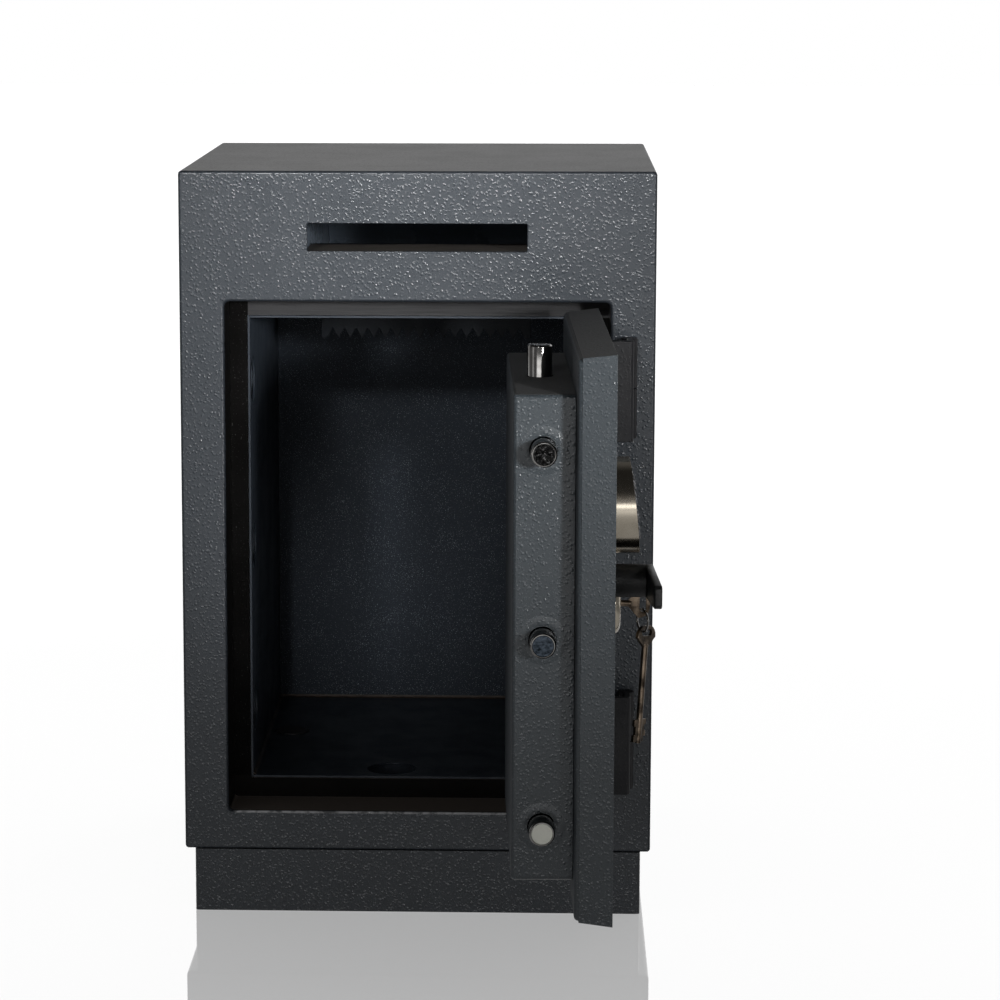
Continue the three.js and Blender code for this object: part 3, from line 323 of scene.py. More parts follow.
HAMMERED = HammeredSkin()
MARKS = NoiseMarks("handling marks", {
    "Scuff": ((60.0, 4.0, 0.65), (1.0, 1.0, 14.0), (0.56, 0.72)),
    "Smudge": ((22.0, 4.0, 0.6), EVEN, (0.35, 0.7)),
    "Dust": ((900.0, 1.0, 0.5), EVEN, (0.66, 0.78)),
})
MACHINED = NoiseMarks("machined metal", {
    "Across": ((160.0, 3.0, 0.6), (1.0, 1.0, 40.0), None),
    "Around": ((120.0, 3.0, 0.6), (30.0, 30.0, 1.0), None),
    "Patch": ((90.0, 3.0, 0.6), EVEN, (0.35, 0.7)),
})


def shade(colour: Colour, share: float) -> Colour:
    """Darkens a colour to a share of itself."""
    return tuple(part * share for part in colour)


class Finish:
    """A named finish that builds its material once."""

    title: str

    def material(self) -> bpy.types.Material:
        """Builds the material the first time.

        Returns:
            The material.
        """
        found = bpy.data.materials.get(self.title)
        if found:
            return found
        surface = Surface(self.title)
        self.paint(surface)
        return surface.material

    def paint(self, surface: Surface) -> None:
        """Joins the finish's own nodes to the shader."""
        raise NotImplementedError


@dataclass(frozen=True)
class HammeredPaint(Finish):
    """Powder coat with a pebbled skin, pebble tops painted lighter as a highlight, fine bright flecks that
    are also painted glints, and a tone on what faces up that is part dust and part painted sheen.
    """

    title: str = "hammered paint"
    base: Colour = (0.032, 0.039, 0.048)
    # The lighter colour of the pebble tops: a painted highlight.
    crest_highlight: Colour = (0.054, 0.062, 0.072)
    # Bright flecks that also serve as painted glints.
    fleck_and_glint: Colour = (0.26, 0.27, 0.28)
    depth: float = 0.2 * MM
    roughness: float = 0.27
    fleck_and_glint_share: float = 0.4
    gloss: float = 0.5
    drift_cut: Span = (0.3, 0.7)
    drift_share: float = 0.12
    drift_shade: float = 0.72
    level: Span = (0.6, 0.95)
    # Warm grey on what faces up: part dust, part painted sheen of a grazing reflection.
    dust_and_painted_light: Colour = (0.037, 0.036, 0.035)
    dust_and_painted_light_share: float = 0.85
    settled_rough: float = 0.2
    smudge_rough: float = 0.03
    dark_rough: float = 0.45

    def paint(self, surface: Surface) -> None:
        """Joins the pebbles with their painted crest highlights, the flecks and painted glints, the slow
        change of tone, and the dust and painted sheen on what faces up.

        Args:
            surface: The material's nodes.
        """
        skin = HAMMERED.on(surface)
        marks = MARKS.on(surface)
        # Pebble tops painted lighter, as a painted highlight.
        tone = surface.blend(skin["Crest highlight"], self.base, self.crest_highlight)
        drift = surface.ramp(skin["Drift"], *self.drift_cut, 0.0, self.drift_share)
        tone = surface.blend(drift, tone, shade(self.base, self.drift_shade))
        # Bright flecks, partly flake and partly painted glints.
        tone = surface.blend(surface.times(skin["Fleck and glint"], self.fleck_and_glint_share), tone, self.fleck_and_glint)
        facing = surface.facing()
        level = surface.ramp(facing[2], *self.level)
        # Dust and painted sheen on what faces up.
        tone = surface.blend(surface.times(level, self.dust_and_painted_light_share), tone, self.dust_and_painted_light)
        # Takes the share of painted shade that a finish blends in, if it has any.
        tone, painted_shade = self.trim(surface, tone, facing)
        rough = surface.plus(self.roughness, surface.times(marks["Smudge"], self.smudge_rough))
        rough = surface.plus(rough, surface.times(level, self.settled_rough))
        rough = surface.plus(rough, surface.times(painted_shade, self.dark_rough))
        surface.fill(Base_Color=tone, Roughness=rough, Specular_IOR_Level=self.gloss,
                     Normal=surface.raised(skin["Height"], self.depth))

    def trim(self, surface: Surface, tone: Socket, facing: Sequence[Socket]) -> Tuple[Socket, Value]:
        """Gives the tone and the share of painted shade treated apart; here there is none."""
        return tone, 0.0


@dataclass(frozen=True)
class FramePaint(HammeredPaint):
    """The front plate's paint: painted shade in its folds and in a band round the doorway, and a chipped line
    along the sill made bright as a painted highlight.
    """

    # Painted shade in the folds and in a band round the doorway.
    painted_fold_shade: Colour = (0.006, 0.010, 0.016)
    half_width: float = 0.142
    half_height: float = 0.1923
    middle: float = 0.27
    rim: Span = (0.0034, -0.0004)
    doorway_shade_share: float = 0.9
    turned: Span = (-0.998, -0.88)
    fold_shade_share: float = 0.8
    # A chipped line along the sill, made bright as a painted highlight.
    wear_and_painted_light: Colour = (0.85, 0.85, 0.87)
    line_foot: Span = (-0.0020, -0.0012)
    line_head: Span = (0.0, -0.0006)
    line_ends: Span = (-0.003, -0.006)
    chips: Grain = (160.0, 2.0, 0.5)
    chip_cut: Span = (0.35, 0.6)
    chip_share: Span = (0.25, 0.9)

    def trim(self, surface: Surface, tone: Socket, facing: Sequence[Socket]) -> Tuple[Socket, Value]:
        """Blends in the painted shade of the folds and the doorway band, and the sill's chipped line with its
        painted highlight.

        Args:
            surface: The material's nodes.
            tone: The paint's own colour.
            facing: How far the surface faces along X, Y and Z.

        Returns:
            The colour, and the share of the painted fold shade.
        """
        x, _, z = surface.split(surface.place)
        across = surface.minus(surface.math("ABSOLUTE", x), self.half_width)
        above = surface.math("ABSOLUTE", surface.minus(z, self.middle))
        gap = surface.larger(across, surface.minus(above, self.half_height))
        # Painted shade: a band round the doorway and the folds that turn away from the front.
        painted_shade = surface.larger(surface.ramp(gap, *self.rim, 0.0, self.doorway_shade_share),
                              surface.ramp(facing[1], *self.turned, 0.0, self.fold_shade_share))
        # The sill's chipped line, brightened as a painted highlight.
        sill = self.middle - self.half_height
        line = surface.times(*[surface.ramp(z, sill + span[0], sill + span[1])
                               for span in (self.line_foot, self.line_head)])
        chips = surface.ramp(surface.noise(surface.place, *self.chips), *self.chip_cut, *self.chip_share)
        share = surface.times(surface.times(line, surface.ramp(across, *self.line_ends)), chips)
        return surface.blend(share, surface.blend(painted_shade, tone, self.painted_fold_shade), self.wear_and_painted_light), painted_shade


@dataclass(frozen=True)
class DoorPaint(HammeredPaint):
    """The door's paint: painted shade on the side that looks into the safe, which is also flatter there."""

    # Painted shade on the faces that look into the safe.
    inner: Colour = (0.018, 0.023, 0.029)
    inward_shade: Span = (-0.35, -0.95)
    inward_shade_share: float = 0.85

    def trim(self, surface: Surface, tone: Socket, facing: Sequence[Socket]) -> Tuple[Socket, Value]:
        """Blends in the painted shade on the inner side, and gives its share with it."""
        # Painted shade on the inner side.
        inward_shade = surface.ramp(facing[0], *self.inward_shade, 0.0, self.inward_shade_share)
        return surface.blend(inward_shade, tone, self.inner), inward_shade


@dataclass(frozen=True)
class SmoothPaint(Finish):
    """A plain coat with scuffs, smudges, dust and a faint orange peel."""

    title: str
    base: Colour
    worn: Colour
    wear: float = 0.35
    roughness: float = 0.38
    smudge_rough: float = 0.16
    gloss: float = 0.3
    depth: float = 0.08 * MM
    lint: Colour = (0.3, 0.3, 0.29)
    lint_share: float = 0.3

    def paint(self, surface: Surface) -> None:
        """Joins the coat's tone, its marks and its orange peel.

        Args:
            surface: The material's nodes.
        """
        marks = MARKS.on(surface)
        skin = HAMMERED.on(surface)
        tone = surface.blend(surface.times(marks["Scuff"], self.wear), self.base, self.worn)
        tone = surface.blend(surface.times(marks["Dust"], self.wear * self.lint_share), tone, self.lint)
        rough = surface.plus(self.roughness, surface.times(marks["Smudge"], self.smudge_rough))
        surface.fill(Base_Color=self.bare(surface, tone), Roughness=rough, Specular_IOR_Level=self.gloss,
                     Normal=surface.raised(skin["Height"], self.depth))

    def bare(self, surface: Surface, tone: Socket) -> Socket:
        """Gives the tone with any place treated apart; here there is none."""
        return tone


@dataclass(frozen=True)
class LedgeCoat(SmoothPaint):
    """The rebate's coat: near black; along the head, grey streaks of wear brightened as a painted reflection;
    on what faces up, dust lightened to stand in for light that does not reach it.
    """

    # Grey streaks along the head: wear, brightened as a painted reflection.
    wear_and_painted_light: Colour = (0.068, 0.068, 0.070)
    head: Span = (0.4462, 0.4468)
    corner: Span = (-0.1285, -0.1277)
    streaks: Grain = (26.0, 3.0, 0.6)
    streak_pull: Point = (1.0, 30.0, 30.0)
    streak_cut: Span = (0.3, 0.6)
    streak_share: Span = (0.75, 1.0)
    scuffed: Colour = (0.014, 0.013, 0.012)
    riser: Span = (0.0947, 0.0937)
    riser_share: float = 0.9
    # Dust on what faces up, lightened to stand in for light that does not reach the low ledge.
    dust_and_painted_light: Colour = (0.13, 0.11, 0.095)
    level: Span = (0.5, 0.9)

    def bare(self, surface: Surface, tone: Socket) -> Socket:
        """Blends in the streaked wear and painted reflection of the head, the riser below the sill, and the
        dust lightened as painted light.

        Args:
            surface: The material's nodes.
            tone: The coat's own colour.

        Returns:
            The colour.
        """
        x, _, z = surface.split(surface.place)
        streaks = surface.noise(surface.stretch(surface.place, self.streak_pull), *self.streaks)
        worn = surface.times(surface.ramp(x, *self.corner),
                             surface.ramp(streaks, *self.streak_cut, *self.streak_share))
        # Streaked wear on the head, brightened as a painted reflection.
        tone = surface.blend(surface.times(surface.ramp(z, *self.head), worn), tone, self.wear_and_painted_light)
        tone = surface.blend(surface.ramp(z, *self.riser, 0.0, self.riser_share), tone, self.scuffed)
        # Dust on what faces up, lightened as painted light.
        return surface.blend(surface.ramp(surface.facing()[2], *self.level), tone, self.dust_and_painted_light)


@dataclass(frozen=True)
class ChuteFloorCoat(SmoothPaint):
    """The chute's dark coat, with a warm film of dust on the shelf behind the slot."""

    film: Colour = (0.08, 0.072, 0.065)
    shelf: Span = (0.462, 0.466)
    bend: Span = (-0.088, -0.096)
    waves: Grain = (30.0, 2.0, 0.5)
    wave_pull: Point = (1.0, 0.2, 0.2)
    wave_reach: float = 0.02

    def bare(self, surface: Surface, tone: Socket) -> Socket:
        """Blends in the dust in front of the shelf's bend, with a wavy edge.

        Args:
            surface: The material's nodes.
            tone: The coat's own colour.

        Returns:
            The colour.
        """
        _, y, z = surface.split(surface.place)
        waves = surface.noise(surface.stretch(surface.place, self.wave_pull), *self.waves)
        edge = surface.plus(y, surface.times(waves, self.wave_reach))
        share = surface.times(surface.ramp(z, *self.shelf), surface.ramp(edge, *self.bend))
        return surface.blend(share, tone, self.film)


@dataclass(frozen=True)
class PlatedMetal(Finish):
    """Turned or rolled metal with fine lines and patches of duller plating."""

    title: str
    base: Colour
    dull: Colour
    patch: float = 0.3
    roughness: float = 0.16
    lines: float = 0.12
    around: bool = True
    depth: float = 0.02 * MM
    fineness: float = 1.0
    pitting: float = 0.0

    def paint(self, surface: Surface) -> None:
        """Joins the metal's tone, its lines and its relief.

        Args:
            surface: The material's nodes.
        """
        work = MACHINED.on(surface, surface.stretch(surface.place, (self.fineness,) * 3))
        tone = surface.blend(surface.times(work["Patch"], self.patch), self.base, self.dull)
        lines = work["Around" if self.around else "Across"]
        rough = surface.plus(self.roughness, surface.times(lines, self.lines))
        height = surface.minus(lines, surface.times(work["Patch"], self.pitting))
        surface.fill(Base_Color=tone, Roughness=rough, Metallic=1.0,
                     Normal=surface.raised(height, self.depth))


@dataclass(frozen=True)
class MouldedPlastic(Finish):
    """Moulded or cast material with a fine grain."""

    title: str
    base: Colour
    roughness: float = 0.5
    smudge_rough: float = 0.12
    smudge_shade: float = 0.75
    depth: float = 0.04 * MM
    grain: Grain = (1600.0, 2.0, 0.6)

    def paint(self, surface: Surface) -> None:
        """Joins the grain and the smudges.

        Args:
            surface: The material's nodes.
        """
        smudge = MARKS.on(surface)["Smudge"]
        tone = surface.blend(smudge, self.base, shade(self.base, self.smudge_shade))
        rough = surface.plus(self.roughness, surface.times(smudge, self.smudge_rough))
        grain = surface.noise(surface.place, *self.grain)
        surface.fill(Base_Color=tone, Roughness=rough, Normal=surface.raised(grain, self.depth))


BODY_PAINT = HammeredPaint()
DOOR_PAINT = DoorPaint("hammered paint on the door", (0.038, 0.048, 0.056), (0.056, 0.068, 0.078),
                       depth=0.15 * MM, settled_rough=0.5)
FRONT_PAINT = FramePaint("hammered paint on the front")
# Inside, the fine bright flecks are mostly painted glints.
BACK_WALL_PAINT = HammeredPaint("hammered paint inside", (0.018, 0.024, 0.033), (0.024, 0.031, 0.042),
                                (0.2, 0.23, 0.26), depth=0.1 * MM, roughness=0.5, fleck_and_glint_share=0.9, gloss=0.15)
INSIDE_COAT = SmoothPaint("smooth paint", (0.030, 0.038, 0.050), (0.055, 0.062, 0.070))
JAMB_COAT = LedgeCoat("rebate coat", (0.003, 0.0028, 0.0026), (0.006, 0.005, 0.0045), wear=0.6,
                      roughness=0.75, gloss=0.08)
CHUTE_COAT = SmoothPaint("chute coat", (0.14, 0.17, 0.21), (0.05, 0.05, 0.05), wear=0.3, roughness=0.22,
                         gloss=0.5)
SHELF_COAT = ChuteFloorCoat("dusty chute coat", (0.006, 0.008, 0.011), (0.02, 0.02, 0.02), wear=0.3,
                            roughness=0.5, gloss=0.15)
BLACK_COAT = SmoothPaint("satin black coat", (0.008, 0.008, 0.010), (0.03, 0.03, 0.032), wear=0.3,
                         roughness=0.4)
HANDLE_COAT = SmoothPaint("handle coat", (0.007, 0.007, 0.007), (0.03, 0.03, 0.03), wear=0.25, roughness=0.36)
BOLT_PLATING = PlatedMetal("bolt plating", (0.40, 0.395, 0.385), (0.16, 0.15, 0.14), patch=0.6)
ROD_PLATING = PlatedMetal("bright rod plating", (0.22, 0.216, 0.21), (0.05, 0.043, 0.04), patch=0.6,
                          roughness=0.06, lines=0.06)
BOLT_ENDS = {
    "top": PlatedMetal("pitted bolt end", (0.04, 0.04, 0.04), (0.002, 0.002, 0.002), patch=1.0,
                       roughness=0.25, depth=0.05 * MM, fineness=8.0, pitting=12.0),
    "middle": PlatedMetal("polished bolt end", (0.05, 0.062, 0.078), (0.008, 0.011, 0.014), patch=1.0,
                          roughness=0.08, lines=0.05, fineness=3.0, pitting=6.0),
    "bottom": PlatedMetal("sawn bolt end", (0.42, 0.42, 0.38), (0.34, 0.34, 0.31), patch=0.6, roughness=0.5),
}
NICKEL = PlatedMetal("satin nickel", (0.44, 0.395, 0.325), (0.30, 0.26, 0.20), roughness=0.12)
ZINC = PlatedMetal("zinc plating", (0.46, 0.49, 0.52), (0.36, 0.38, 0.38), roughness=0.34, around=False)
BRASS = PlatedMetal("machined brass", (0.62, 0.47, 0.22), (0.4, 0.3, 0.15), roughness=0.3)
KEY_BRONZE = PlatedMetal("bronzed key", (0.20, 0.155, 0.115), (0.02, 0.015, 0.011), patch=1.0,
                         roughness=0.26, depth=0.1 * MM)
BLACK_PLASTIC = MouldedPlastic("black plastic", (0.02, 0.02, 0.022))
KEY_CAPS = MouldedPlastic("grey key caps", (0.06, 0.06, 0.065), roughness=0.36)
BOARD_GREEN = MouldedPlastic("circuit board", (0.02, 0.12, 0.06), roughness=0.45)
CAST_FILL = MouldedPlastic("cast fill", (0.42, 0.41, 0.38), roughness=0.9, depth=0.3 * MM)
SEALANT = MouldedPlastic("brown sealant", (0.045, 0.030, 0.020), roughness=0.4, depth=0.2 * MM)
MARKING = MouldedPlastic("key numbers", (0.7, 0.7, 0.7))


@dataclass(frozen=True)
class DoorPlace:
    """Where the open door stands: turned about its hinge pins from where it lies when shut."""

    hinge: Span = (155.5, -6.3)
    opened: float = 91.7

    def matrix(self) -> Matrix:
        """Turns the shut door's millimetres about the pins.

        Returns:
            The matrix to the cabinet's millimetres.
        """
        pin = Vector((*self.hinge, 0.0))
        turn = Matrix.Translation(pin) @ Matrix.Rotation(math.radians(self.opened), 4, "Z")
        return turn @ Matrix.Translation(-pin)


# The cabinet's front face in the frame, and the shut door's outer face behind it, in millimetres.
FRONT_FACE = -170.0
DOOR_FACE = 17.2
CABINET = Matrix.Scale(MM, 4) @ Matrix.Translation((0.0, FRONT_FACE, 0.0))
DOOR = CABINET @ DoorPlace().matrix()


def out_of_door(outline: Outline) -> Outline:
    """Turns distances out from the shut door's face into places along Y."""
    return [(radius, DOOR_FACE - out) for radius, out in outline]


def add_object(name: str, data: bpy.types.ID) -> bpy.types.Object:
    """Puts an object with this data into the scene.

    Args:
        name: The object's name.
        data: Its mesh, curve, camera or lamp.

    Returns:
        The object.
    """
    made = bpy.data.objects.new(name, data)
    bpy.context.scene.collection.objects.link(made)
    return made


class Form:
    """A bmesh, in millimetres or a CAD node's metres, which becomes a piece of the model."""

    merge = 1e-4
    cad_merge = 1e-6
    cad_flat = math.radians(0.6)
    rim = math.radians(35)

    def __init__(self) -> None:
        """Starts with nothing in it."""
        self.mesh = bmesh.new()

    def turned(self, profile: Outline, axis: Axis, centre: Point, steps: int = 64) -> "Form":
        """Adds a piece turned about an axis.

        Args:
            profile: Radius and height along the axis, in order.
            axis: The direction of the axis.
            centre: A point on the axis, where the height is nought.
            steps: How many steps go round.

        Returns:
            This form.
        """
        part = bmesh.new()
        points = [part.verts.new((radius, 0.0, height)) for radius, height in profile]
        edges = [part.edges.new(pair) for pair in zip(points, points[1:])]
        bmesh.ops.spin(part, geom=points + edges, axis=(0, 0, 1), cent=(0, 0, 0), steps=steps,
                       angle=2 * math.pi, use_merge=True)
        bmesh.ops.remove_doubles(part, verts=part.verts, dist=self.merge)
        bmesh.ops.recalc_face_normals(part, faces=part.faces)
        degrees, about = axis.value
        turn = Matrix.Translation(centre) @ Matrix.Rotation(math.radians(degrees), 4, about)
        bmesh.ops.transform(part, matrix=turn, verts=part.verts)
        return self.take(part)

    def plate(self, outline: Outline, thickness: float, place: Matrix, edge: float = 0.0) -> "Form":
        """Adds a flat plate, from an outline across its own X and Y.

        Args:
            outline: The corners, in order.
            thickness: How thick the plate is, along its own Z.
            place: Where the plate goes.
            edge: The radius of its rims.

        Returns:
            This form.
        """
        part = bmesh.new()
        face = part.faces.new([part.verts.new((x, y, 0.0)) for x, y in outline])
        raised = bmesh.ops.extrude_face_region(part, geom=[face])
        moved = [item for item in raised["geom"] if isinstance(item, bmesh.types.BMVert)]
        bmesh.ops.translate(part, vec=(0, 0, thickness), verts=moved)
        bmesh.ops.recalc_face_normals(part, faces=part.faces)
        if edge > 0:
            rims = [item for item in part.edges if item.calc_face_angle(0.0) > self.rim]
            bmesh.ops.bevel(part, geom=rims, offset=edge, offset_type="OFFSET", segments=3, profile=0.5,
                            affect="EDGES", material=-1, clamp_overlap=True)
        bmesh.ops.transform(part, matrix=place, verts=part.verts)
        return self.take(part)

    def cad(self, node: str) -> "Form":
        """Adds a merged copy of a CAD node's mesh, which is in metres already.

        Args:
            node: The CAD node.

        Returns:
            This form.
        """
        part = bmesh.new()
        part.from_mesh(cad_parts[node].data)
        bmesh.ops.remove_doubles(part, verts=part.verts, dist=self.cad_merge)
        bmesh.ops.dissolve_limit(part, angle_limit=self.cad_flat, verts=part.verts, edges=part.edges)
        return self.take(part)

    def take(self, part: bmesh.types.BMesh) -> "Form":
        """Adds another bmesh to this one and lets it go.

        Args:
            part: The other bmesh.

        Returns:
            This form.
        """
        scratch = bpy.data.meshes.new("scratch")
        part.to_mesh(scratch)
        part.free()
        self.mesh.from_mesh(scratch)
        bpy.data.meshes.remove(scratch)
        return self

    def piece(self, name: str, body: str, place: Matrix, finish: Finish, slot: str,
              replaces: Sequence[str] = (), sharp: float = 32.0) -> bpy.types.Object:
        """Makes the form a piece of the model.

        Args:
            name: The piece's name.
            body: The body that it moves with.
            place: The matrix to the frame's metres.
            finish: Its finish.
            slot: The record's slot that the finish stands for; not used.
            replaces: The CAD nodes that it stands for.
            sharp: Faces that meet at more than this many degrees meet in a crisp edge.

        Returns:
            The new object.
        """
        data = bpy.data.meshes.new(name)
        self.mesh.to_mesh(data)
        self.mesh.free()
        data.transform(place)
        data.polygons.foreach_set("use_smooth", [True] * len(data.polygons))
        data.set_sharp_from_angle(angle=math.radians(sharp))
        made = add_object(name, data)
        data.materials.append(finish.material())
        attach(made, body)
        if replaces:
            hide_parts(*replaces)
        LOG.info("piece %s on %s, %d faces", name, body, len(data.polygons))
        return made


def cover(node: str, name: str, body: str, finish: Finish, slot: str, edge: float, sharp: float = 32.0,
          segments: int = 2, angle: float = 40.0) -> None:
    """Replaces a CAD node by a merged copy of it with rounded edges.

    Args:
        node: The CAD node.
        name: The piece's name.
        body: The body that it moves with.
        finish: Its finish.
        slot: The record's slot that the finish stands for.
        edge: The radius of its edges, in millimetres.
        sharp: Faces that meet at more than this many degrees meet in a crisp edge.
        segments: Steps across the radius.
        angle: Edges sharper than this many degrees are rounded.
    """
    piece = Form().cad(node).piece(name, body, IN_PLACE, finish, slot, (node,), sharp)
    bevel = piece.modifiers.new("rounded edges", "BEVEL")
    bevel.limit_method = "ANGLE"
    bevel.angle_limit = math.radians(angle)
    bevel.width = edge * MM
    bevel.segments = segments
    bevel.miter_outer = "MITER_ARC"
    piece.modifiers.new("even shading", "WEIGHTED_NORMAL").keep_sharp = True


def dress(finish: Finish, *nodes: str) -> None:
    """Gives CAD nodes their finish, in every slot that they have.

    Args:
        finish: The finish.
        nodes: The nodes.
    """
    for node in nodes:
        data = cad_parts[node].data
        if not data.materials:
            data.materials.append(finish.material())
        for index in range(len(data.materials)):
            data.materials[index] = finish.material()
        LOG.info("finish %s on %s", finish.title, node)


@dataclass
class Cabinet:
    """The steel body: frame, wrapper, plinth, rebate, liner and strike pockets."""

    front_edge: float = 0.7
    sheet_edge: float = 0.35
    jamb_edge: float = 0.5
    cavity_half: float = 126.9
    cavity_floor: float = 94.3
    cavity_rear: float = 316.0
    side_bead: float = 269.5
    bead: Outline = ((0.0, 0.0), (2.2, 0.0), (0.77, 0.77), (0.0, 2.2))

    def build(self) -> None:
        """Builds and dresses every piece of the body."""
        for node, name, edge, finish in (
            ("front_frame", "front_plate", self.front_edge, FRONT_PAINT),
            ("outer_shell", "wrapper", self.sheet_edge, BODY_PAINT),
            ("back_panel", "back_plate", self.front_edge, BODY_PAINT),
            ("plinth", "plinth_pan", self.sheet_edge, BODY_PAINT),
        ):
            cover(node, name, "cabinet", finish, "hammertone", edge)
        cover("door_jamb", "rebate_walls", "cabinet", JAMB_COAT, "jamb_paint", self.jamb_edge)
        dress(INSIDE_COAT, "liner_left", "liner_right", "liner_floor", "liner_ceiling", "strike_channel",
              "strike_cup_floor", "strike_cup_head")
        dress(BACK_WALL_PAINT, "liner_back")
        dress(CAST_FILL, "cast_fill")
        dress(BLACK_PLASTIC, "anchor_cap_left", "anchor_cap_right")
        self.beads()

    def beads(self) -> None:
        """Lays the sealant along the strongroom's lower rear and left corners."""
        low, rear, half = self.cavity_floor, self.cavity_rear, self.cavity_half
        form = Form()
        for length, across, along in (
            (2 * half, (0, 0, 1, -half), (-1, 0, 0, rear)),
            (self.side_bead, (1, 0, 0, -half), (0, 0, -1, rear)),
        ):
            form.plate(self.bead, length, Matrix((across, along, (0, 1, 0, low), (0, 0, 0, 1))))
        form.piece("sealant_beads", "cabinet", CABINET, SEALANT, "black_plastic")


@dataclass
class Chute:
    """The deposit chute behind the slot, with its toothed lip."""

    edge: float = 0.25

    def build(self) -> None:
        """Makes the chute's sheets with a fine edge."""
        for part, finish, sharp in (("hood", CHUTE_COAT, 30.0), ("floor", SHELF_COAT, 10.0),
                                    ("deflector", CHUTE_COAT, 40.0)):
            cover(f"chute_{part}", f"chute_{part}_sheet", "cabinet", finish, "chute_paint", self.edge, sharp,
                  segments=1, angle=60.0)


@dataclass
class Hinges:
    """Two lift-off hinges: a knuckle on the frame and a cranked leaf on the door."""

    edge: float = 0.6

    def build(self) -> None:
        """Makes both halves of both hinges."""
        for level in ("upper", "lower"):
            for node, name, body in ((f"hinge_knuckle_{level}", f"frame_knuckle_{level}", "cabinet"),
                                     (f"hinge_leaf_{level}", f"door_leaf_{level}", "door")):
                cover(node, name, body, BLACK_COAT, "black_steel", self.edge)
            dress(ZINC, f"hinge_pin_{level}")


@dataclass
class DoorLeaf:
    """The slab and the housing that covers its boltwork."""

    slab_edge: float = 1.0
    housing_edge: float = 0.8

    def build(self) -> None:
        """Makes the slab and the housing, and dresses the sheet and fittings between them."""
        cover("door_slab", "door_slab_skin", "door", DOOR_PAINT, "hammertone", self.slab_edge, segments=3)
        cover("bolt_housing", "bolt_cover", "door", DOOR_PAINT, "hammertone", self.housing_edge,
              sharp=40.0, segments=3)
        dress(ZINC, "boltwork_base", "solenoid_body", "lock_case")


@dataclass
class Boltwork:
    """The plate, the three side bolts and the two vertical bolts.

    Each outline is a radius and a height along the axis, from the bolt's tip, the side bolt's
    shoulder (rivet) or the housing's left face (pressed).
    """

    radius: float = 8.6
    depth: float = 64.2
    left: float = -117.0
    reach: float = 19.5
    middle: float = 268.5
    spacing: float = 126.8
    shoulder: float = -101.3
    rod_x: float = -22.0
    housing_half: float = 164.0
    rod_reach: float = 21.5
    rod_inside: float = 25.0
    sharp: float = 28.0
    ring_steps: int = 96
    nose: Outline = ((0.0, 0.5), (7.2, 0.5), (7.3, 0.0), (7.8, 0.04), (8.5, 0.8), (8.6, 1.1))
    rivet: Outline = ((4.0, 0.0), (4.0, 3.6), (6.3, 3.6), (6.2, 6.0), (5.4, 6.6), (0.0, 6.6))
    disc: Outline = ((0.0, 0.12), (6.9, 0.12), (7.18, 0.3), (7.18, 0.7), (0.0, 0.7))
    pressed: Outline = ((9.8, 0.3), (9.8, -0.2), (11.4, -0.45), (13.2, -0.36), (16.4, -0.02), (16.4, 0.3),
                        (9.8, 0.3))
    shank: Outline = ((0.0, 0.0), (7.5, 0.0), (7.7, 0.06), (8.5, 0.9), (8.61, 1.2))

    def build(self) -> None:
        """Makes the bolts and dresses the plate that carries them."""
        dress(ZINC, "bolt_plate")
        for index, level in enumerate(("top", "middle", "bottom")):
            self.side_bolt(level, self.middle + (1 - index) * self.spacing)
        for name, way in (("top", 1.0), ("bottom", -1.0)):
            dress(ROD_PLATING, f"rod_bolt_{name}")
            self.rod_shank(name, way)

    def side_bolt(self, level: str, height: float) -> None:
        """Turns a side bolt, the face of its end and the pressed ring round its hole.

        Args:
            level: Which of the three it is.
            height: Its height above the floor.
        """
        tip = self.left - self.reach
        length = self.shoulder - tip
        profile = [*self.nose, (self.radius, length), *[(r, length + h) for r, h in self.rivet]]
        Form().turned(profile, Axis.X, (tip, self.depth, height)).piece(
            f"side_bolt_{level}_turned", "boltwork", DOOR, ROD_PLATING, "chrome", (f"side_bolt_{level}",),
            sharp=self.sharp)
        Form().turned(self.disc, Axis.X, (tip, self.depth, height)).piece(
            f"side_bolt_{level}_face", "boltwork", DOOR, BOLT_ENDS[level], "chrome", sharp=self.sharp)
        Form().turned(self.pressed, Axis.X, (self.left, self.depth, height), self.ring_steps).piece(
            f"pressed_ring_{level}", "door", DOOR, DOOR_PAINT, "hammertone", sharp=40.0)

    def rod_shank(self, name: str, way: float) -> None:
        """Turns the round end of a vertical bolt a little proud of its node's facets.

        Args:
            name: Which end it is.
            way: One for up, minus one for down.
        """
        end = self.middle + way * (self.housing_half + self.rod_reach)
        length = self.rod_reach + self.rod_inside
        profile = [*self.shank, (self.shank[-1][0], length), (0.0, length)]
        Form().turned([(r, -way * h) for r, h in profile], Axis.Z, (self.rod_x, self.depth, end)).piece(
            f"rod_shank_{name}", f"{name}_rod", DOOR, ROD_PLATING, "chrome", sharp=self.sharp)


